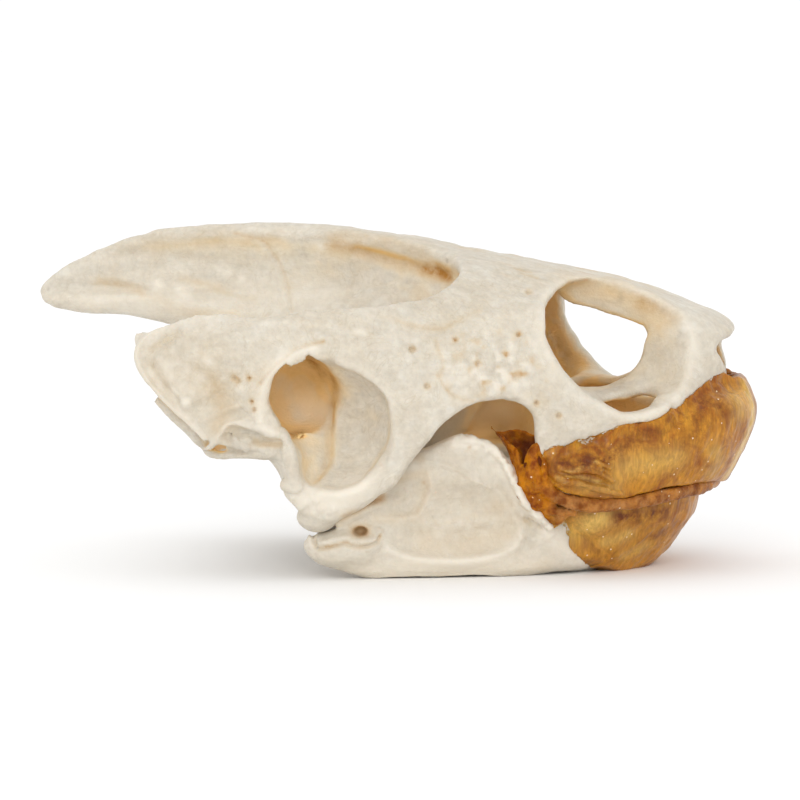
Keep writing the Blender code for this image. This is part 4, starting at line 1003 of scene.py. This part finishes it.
# Wrinkles at the corner of the mouth as relief, then the brown and the straw-coloured marks
UPPER_WRINKLES = [
    (0.2, 0.13, ((12.5, 13.3, 8.9), (13.4, 13.1, 8.7), (14.2, 12.8, 8.8), (15.1, 12.5, 9), (16, 12.1, 8.8),
        (17, 11.6, 8.3))),
    (0.22, 0.13, ((12.5, 13.3, 8.4), (13.4, 13, 8.2), (14.2, 12.7, 8.1), (15.1, 12.4, 8.2),
        (16.1, 11.9, 8), (17.1, 11.3, 7.4))),
    (0.24, 0.13, ((12.6, 13.2, 8), (13.5, 12.8, 7.6), (14.4, 12.5, 7.2), (15.4, 12, 7), (16.5, 11.4, 6.6),
        (17.8, 10.6, 6.3))),
    (0.16, 0.11, ((13, 13.1, 8.05), (14, 12.7, 7.75), (15, 12.3, 7.65), (16.2, 11.7, 7.3))),
    (-0.14, 0.16, ((12.8, 13.2, 8.2), (14, 12.7, 7.9), (15.4, 12.2, 7.5), (16.8, 11.4, 7))),
    (-0.12, 0.14, ((12.8, 13.2, 8.65), (14, 12.8, 8.45), (15.4, 12.4, 8.6))),
    (0.18, 0.1, ((12.3, 13.3, 9.2), (13.1, 13.1, 9.15), (13.9, 12.9, 9.3), (14.8, 12.6, 9.35),
        (15.8, 12.3, 9.1))),
    (0.2, 0.1, ((12.2, 13.3, 8.6), (12.9, 13.2, 8.35), (13.7, 13, 8.5), (14.4, 12.8, 8.3),
        (15.3, 12.4, 8.5), (16.4, 12, 8.2))),
    (0.2, 0.1, ((12.2, 13.2, 7.9), (12.8, 13.1, 7.75), (13.6, 12.9, 7.3), (14.6, 12.5, 7.35),
        (15.6, 12, 6.9), (16.8, 11.4, 6.7))),
    (-0.22, 0.11, ((12.3, 13.3, 8.95), (13.3, 13.1, 8.9), (14.4, 12.8, 9.05))),
    (-0.2, 0.1, ((12.4, 13.2, 7.75), (13.4, 12.9, 7.5), (14.6, 12.4, 7.1), (15.8, 11.8, 6.85))),
]
UPPER_UMBER = (
    (0.6, 0.75, ((13.4, 13, 8.8), (14.6, 12.8, 9.2))),
    (0.7, 0.9, ((15.6, 12.2, 9), (16.9, 11.8, 9.1), (17.8, 11.5, 9.6))),
    (0.6, 0.7, ((18.6, 11, 10.3), (20, 10.3, 10.9))),
    (0.5, 0.6, ((20.9, 9.6, 11.5), (21.8, 9, 12.2))),
    (0.7, 0.8, ((23.3, 7.7, 13.2), (24.1, 6.9, 13.8))),
    (0.9, 0.75, ((23.6, 7.7, 11.2), (24.4, 7, 12.2), (25, 6.1, 12.9))),
    (0.7, 0.5, ((22.6, 8.4, 10.2), (23.4, 7.9, 10.6))),
    (1, 0.5, ((12.6, 13, 8.2), (14, 12.7, 7.9), (15.6, 12.2, 7.8))),
    (0.5, 0.4, ((25.6, 5.2, 12), (25.9, 4.2, 11.2))),
)
UPPER_STRAW = (
    (1.1, 0.55, ((18, 11, 8.4), (20, 10, 8.6), (21.6, 9, 8.8))),
    (0.9, 0.5, ((26, 4.2, 13.2), (26.2, 4, 12))),
    (0.8, 0.5, ((24.6, 6.2, 9), (25, 5.4, 8), (24.4, 5.6, 7.2))),
    (0.7, 0.4, ((15, 12.3, 7), (17.4, 11.3, 6.8))),
    *[(0.11, 0.6, line) for height, width, line in UPPER_WRINKLES if height > 0],
    # Painted highlight: a pale line down the front edge of the sheath, as if lit from the side
    (0.45, 0.9, ((26.6, 1.9, 14.2), (27.1, 1.8, 12.6), (26.9, 1.7, 10.6), (26, 1.6, 8.4),
        (25.2, 1.5, 6.8))),
)


def horn_form(node, name, surface, edge, relief):
    """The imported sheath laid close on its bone, thinned and torn along its upper edge."""
    strands = [
        bar([(x, w + 0.1, z) for x, w, z in line], [0.13] * len(line))
        for height, _, line in relief if height > STRAND_HEIGHT
    ]
    horn = grown_on(solid_of(node, name), both_sides(strands), HORN_GRAIN)
    horn = worked(horn, "SMOOTH", factor=0.5, iterations=4)
    spots, normals = points_of(horn), points_of(horn, "normal")
    margin = stained(spots, [(1.2, 1.0, edge)])
    margin *= np.clip((np.abs(spots[:, 1]) - 1.5) / 2.0, 0, 1)
    spots[:, 2] += margin * uneven_layers(spots * (1, 1, 0.25), (0.16, 0.9, 31), (0.14, 0.4, 32))
    ragged = EDGE_FILM * (1.0 + 1.6 * unevenness(spots, 0.45, 36))
    for i, (spot, normal) in enumerate(zip(spots, normals)):
        nearest, _, _, away = surface.find_nearest(spot.tolist())
        out = spot - np.array(nearest)
        if away < 1e-6 or away > CLOSE_TO_BONE:
            continue
        out /= away
        if out @ normal < -0.3:
            spots[i] = np.array(nearest) - 0.05 * out
        elif margin[i] > 0.02:
            film = ragged[i] + (away - ragged[i]) * (1 - margin[i]) ** 1.2
            spots[i] = np.array(nearest) + out * min(away, film)
    spots = raised(spots, normals, relief)
    if node == "lower_beak":
        spots[:, 2] = np.maximum(spots[:, 2] - 0.4 * np.clip((2.6 - spots[:, 2]) / 2.2, 0, 1), 0.02)
    swell = uneven_layers(spots, (0.09, 1.8, 33), (0.05, 0.7, 34))
    swell += 0.03 * unevenness(spots * (1, 1, 0.15), 0.3, 35)
    set_points(horn, spots + normals * swell[:, None])
    return horn


def horn_stains(horn, umber_rows, straw_rows, seam, surface):
    """Where the sheath is darker, paler or only a film on the bone. Seam is how dark its middle line is."""
    spots = points_of(horn)
    thick = np.array([surface.find_nearest(spot)[3] for spot in spots.tolist()])
    middle = np.exp(-((spots[:, 1] / 0.55) ** 2)) * seam
    umber = stained(spots, umber_rows) * (0.75 + 0.5 * unevenness(spots, 0.8, 41)) + 0.8 * middle
    straw = stained(spots, straw_rows) * (1 - middle)
    keep_shares(horn, HORN_SHARES, (umber, straw, 1.0 - thick / FLAKE_DEPTH))


def dusted(tree, place, colour):
    """The colour with bright specks of dust 0.1 mm across."""
    dust = add_node(tree, "TexVoronoi", place, Scale=1500)
    small = add_node(tree, "Math", dust, 0.10, operation="LESS_THAN")
    few = add_node(tree, "Math", dust.outputs["Color"], 0.5, operation="GREATER_THAN")
    specks = add_node(tree, "Math", small, few, operation="MULTIPLY")
    faint = add_node(tree, "Math", specks, 0.75, operation="MULTIPLY")
    return add_node(tree, "MixRGB", faint, colour, "#F4E6C8")


def dried_horn():
    """Keratin dried to honey amber: glossy, cloudy inside, with upright fibres and white dust."""
    material, tree = new_material("dried keratin horn")
    place = add_node(tree, "TexCoord").outputs["Object"]
    umber, straw, flakes = kept_shares(tree, HORN_SHARES)
    clouds = add_node(tree, "TexNoise", place, Scale=420, Detail=6, Roughness=0.68, Distortion=0.8)
    depth = add_node(tree, "MapRange", clouds, From_Min=0.38, From_Max=0.62)
    honey = add_node(tree, "MixRGB", depth, "#8C4C04", "#C48722")
    pale = add_node(tree, "MixRGB", straw, honey, "#D2AC5C")
    blots = add_node(tree, "TexNoise", place, Scale=900, Detail=5, Roughness=0.7)
    uneven = add_node(tree, "MapRange", blots, From_Min=0.38, From_Max=0.58, To_Min=0.1, To_Max=1.3)
    shade = add_node(tree, "Math", umber, uneven, operation="MULTIPLY", use_clamp=True)
    brown = add_node(tree, "MixRGB", shade, pale, "#6C3402")
    # Upright fibres, drawn 0.2 mm apart
    upright = add_node(tree, "Mapping", place, Scale=(1, 1, 0.14))
    fibres = add_node(tree, "TexNoise", upright, Scale=5000, Detail=3, Roughness=0.6)
    strands = add_node(tree, "MapRange", fibres, From_Min=0.35, From_Max=0.65, To_Min=0.80, To_Max=1.15)
    streaked = add_node(tree, "MixRGB", 1, brown, strands, blend_type="MULTIPLY")
    # Crumbs of the porous bone cling to the margin
    crumbs = add_node(tree, "TexNoise", place, Scale=2400, Detail=5, Roughness=0.7)
    clinging = add_node(tree, "Math", flakes, crumbs, operation="ADD")
    ragged = add_node(tree, "MapRange", clinging, From_Min=1.38, From_Max=1.50)
    flaked = add_node(tree, "MixRGB", ragged, dusted(tree, place, streaked), "#CFC3AC")
    wrinkles = add_node(tree, "MixRGB", 0.5, fibres, blots)
    relief = add_node(tree, "Bump", Height=wrinkles, Strength=0.45, Distance=0.0001)
    horn = add_node(
        tree, "BsdfPrincipled", Base_Color=flaked, Normal=relief, Roughness=0.3, IOR=1.54,
        Specular_IOR_Level=0.24, Subsurface_Weight=0.25, Subsurface_Scale=0.0007,
        Subsurface_Radius=(1, 0.5, 0.16),
    )
    add_node(tree, "OutputMaterial", horn)
    return material


horn_material = dried_horn()
upper_horn = horn_form("upper_beak", "upper_horn", cranium_surface, UPPER_EDGE, UPPER_WRINKLES)
horn_stains(upper_horn, UPPER_UMBER, UPPER_STRAW, 1.0, cranium_surface)
finished(upper_horn, horn_material, "upper_beak", HORN_TRIANGLES)


# The lower beak: the smaller sheath over the tip of the mandible, of the same horn, streaked slantwise.
# It thins out on the bone behind it in the same way.
LOWER_EDGE = ((12.6, 11.3, 5.6), (13.2, 11.1, 4.4), (14, 10.4, 3.2), (14.6, 9.4, 2.2))
LOWER_WRINKLES = [
    (0.1, 0.16, ((14.4, 10, 2.6), (16, 9.2, 3.4), (17.6, 8.6, 4.4))),
    (0.1, 0.16, ((15, 9, 1.8), (17, 8, 2.6), (18.8, 7.2, 3.8))),
    (-0.12, 0.2, ((15.4, 9.2, 2.4), (17, 8.6, 3.2), (18.2, 8, 4.2))),
    (0.08, 0.14, ((16.6, 7.6, 1.4), (18.6, 6.6, 2.2), (20, 5.8, 3.4))),
]
LOWER_UMBER = (
    (0.7, 0.9, ((17.6, 8.8, 4.3), (19.2, 7.4, 4.4), (20.8, 5.8, 4.6))),
    (0.4, 0.6, ((15.6, 9.4, 1.8), (17, 7.6, 1.6))),
    (0.3, 0.7, ((12.6, 11, 4.4), (12.9, 10.8, 4))),
    (0.5, 0.5, ((19.4, 6, 2.2), (20.6, 5, 2.8))),
)
LOWER_STRAW = (
    (0.9, 0.85, ((14.1, 10.4, 3), (15, 10.1, 3.7), (16.3, 9.6, 4.4))),
    (0.5, 0.5, ((16.4, 8.4, 2.4), (18, 7.6, 3))),
    (0.5, 0.4, ((17.8, 6.6, 1.2), (19.4, 5.6, 1.8))),
    (2.4, 0.18, ((15.6, 9, 2.6), (19, 7, 2.8))),
)

lower_horn = horn_form("lower_beak", "lower_horn", mandible_surface, LOWER_EDGE, LOWER_WRINKLES)
horn_stains(lower_horn, LOWER_UMBER, LOWER_STRAW, 0.4, mandible_surface)
finished(lower_horn, horn_material, "lower_beak", HORN_TRIANGLES)


# The dried gum: a strip of skin that shrank between the two beaks, and crumpled amber shreds of it
# behind them, stuck to the front edge of the mandible and to the end of the upper sheath.
GUM_GRAIN = 0.11
GUM_SHARES = ("umber", "crease_shade")
GUM_STRIP = (
    (11.3, 12.3, 8.5), (11.7, 12.4, 7.5), (12.4, 12.3, 6.6), (13.6, 11.9, 5.95), (15.2, 11.2, 5.55),
    (17, 10.3, 5.45), (19, 9, 5.6), (20.9, 7.3, 5.9), (22.6, 5.2, 6.15), (23.9, 2.8, 6.35), (24.3, 0, 6.4),
)
STRIP_RADII = (0.34, 0.46, 0.54, *[0.58] * 15, 0.54, 0.46, 0.34)
GUM_SHREDS = (
    leaf((((7.8, 9.6, 11.2), (8.5, 10.4, 10.8), (9.1, 10.8, 10.3)),
          ((8.8, 10.4, 10.2), (9.5, 11.2, 9.8), (10.3, 11.4, 9.3)),
          ((9.5, 11, 8.9), (10.2, 11.8, 8.5), (10.9, 11.6, 7.9)),
          ((10, 11.2, 7.5), (10.7, 12.1, 7), (11.5, 11.8, 6.5)),
          ((11, 10.9, 6.1), (11.7, 11.8, 5.8), (12.4, 11.4, 5.5))), 0.28),
    leaf((((12.2, 11.4, 10.2), (11.6, 12, 10.1), (11.1, 11.6, 9.6)),
          ((12.5, 11.7, 9.2), (11.3, 12.5, 8.9), (10.5, 12, 8.5)),
          ((12.7, 12, 8.1), (11.5, 12.8, 7.7), (10.7, 12.2, 7.3)),
          ((12.8, 12.3, 7), (12.1, 12.6, 6.5), (11.4, 12, 6.2))), 0.28),
    leaf((((8.2, 9, 10.7), (9.2, 9.4, 9.4), (9.8, 10.4, 7.6)),
          ((10, 9, 10.9), (10.6, 9.4, 9.4), (10.8, 10.4, 7.4)),
          ((11.8, 9.8, 10.4), (12, 9.8, 9), (12, 10.6, 7))), 0.3),
    leaf((((9.6, 11.3, 7.6), (10, 11.9, 7.2), (10.6, 11.9, 7)),
          ((10.2, 11.1, 5.8), (10.8, 11.7, 5.6), (11.6, 11.7, 5.8)),
          ((11.4, 10.6, 4.5), (12, 11.1, 4.6), (12.8, 11.4, 5)),
          ((12.6, 10, 3.6), (13.1, 10.6, 3.9), (13.9, 11, 4.5))), 0.3),
    lump((11.2, 11.3, 6.4), (1, 0.8, 1)),
    bar(((10.3, 11.5, 8.8), (10.5, 12, 7.8), (11, 12, 6.6), (11.9, 11.6, 5.5), (13, 11.4, 5),
         (14.4, 10.9, 4.85)), (0.2, 0.32, 0.38, 0.42, 0.4, 0.3), flat=0.7),
    lump((11.6, 11.5, 6), (0.9, 0.7, 0.9)),
    lump((12.3, 11.5, 5.9), (0.9, 0.6, 0.7)),
)


def gum_form():
    whole_strip = GUM_STRIP[:-1] + tuple((x, -w, z) for x, w, z in GUM_STRIP[::-1])
    strip = [bar(whole_strip, STRIP_RADII, flat=0.75, sides=16)]
    gum = grown_on(joined("dried_gum", strip + both_sides(GUM_SHREDS)), [], GUM_GRAIN)
    gum = worked(gum, "SMOOTH", factor=0.5, iterations=3)
    spots, normals = points_of(gum), points_of(gum, "normal")
    rear = np.clip(13.2 - spots[:, 0], 0, 1)
    swell = uneven_layers(spots, (0.12, 1.3, 51), (0.05, 0.5, 52)) - 0.02
    wrinkles = np.stack([spots[:, 0] + 0.7 * spots[:, 1], 0.3 * spots[:, 1], 0.25 * spots[:, 2]], axis=1)
    swell += (0.03 + 0.12 * rear) * unevenness(wrinkles, 0.3, 53)
    set_points(gum, spots + normals * swell[:, None])
    umber = 0.15 + 0.75 * rear + 0.35 * unevenness(spots, 0.7, 54)
    # Painted shade: how shut in the shreds' creases are, found by rays, for darkening them
    crease_shade = rear * (3.0 * eased(hidden_share(gum), gum, 3) - 0.5)
    keep_shares(gum, GUM_SHARES, (umber, crease_shade))
    return gum


def dried_skin():
    """Gum skin dried to a dull pinkish brown, redder where it is thin and crumpled, with painted shade
    darkening the creases of its shreds.
    """
    material, tree = new_material("dried gum skin")
    place = add_node(tree, "TexCoord").outputs["Object"]
    umber, crease_shade = kept_shares(tree, GUM_SHARES)
    clouds = add_node(tree, "TexNoise", place, Scale=1200, Detail=5, Roughness=0.6)
    depth = add_node(tree, "MapRange", clouds, From_Min=0.36, From_Max=0.64)
    skin = add_node(tree, "MixRGB", depth, "#7C4410", "#B57C42")
    sheer = add_node(tree, "MixRGB", depth, "#823C00", "#C67C0A")
    amber = add_node(tree, "MixRGB", umber, skin, sheer)
    # Painted shade in the creases
    deep = add_node(tree, "MixRGB", crease_shade, amber, "#5E2600")
    folds = add_node(tree, "TexNoise", place, Scale=3800, Detail=4, Roughness=0.65)
    relief = add_node(tree, "Bump", Height=folds, Strength=0.9, Distance=0.00016)
    gum = add_node(
        tree, "BsdfPrincipled", Base_Color=dusted(tree, place, deep), Normal=relief, Roughness=0.3,
        IOR=1.5, Specular_IOR_Level=0.15, Subsurface_Weight=0.2, Subsurface_Scale=0.0006,
        Subsurface_Radius=(1, 0.45, 0.2),
    )
    add_node(tree, "OutputMaterial", gum)
    return material


finished(gum_form(), dried_skin(), None, HORN_TRIANGLES)
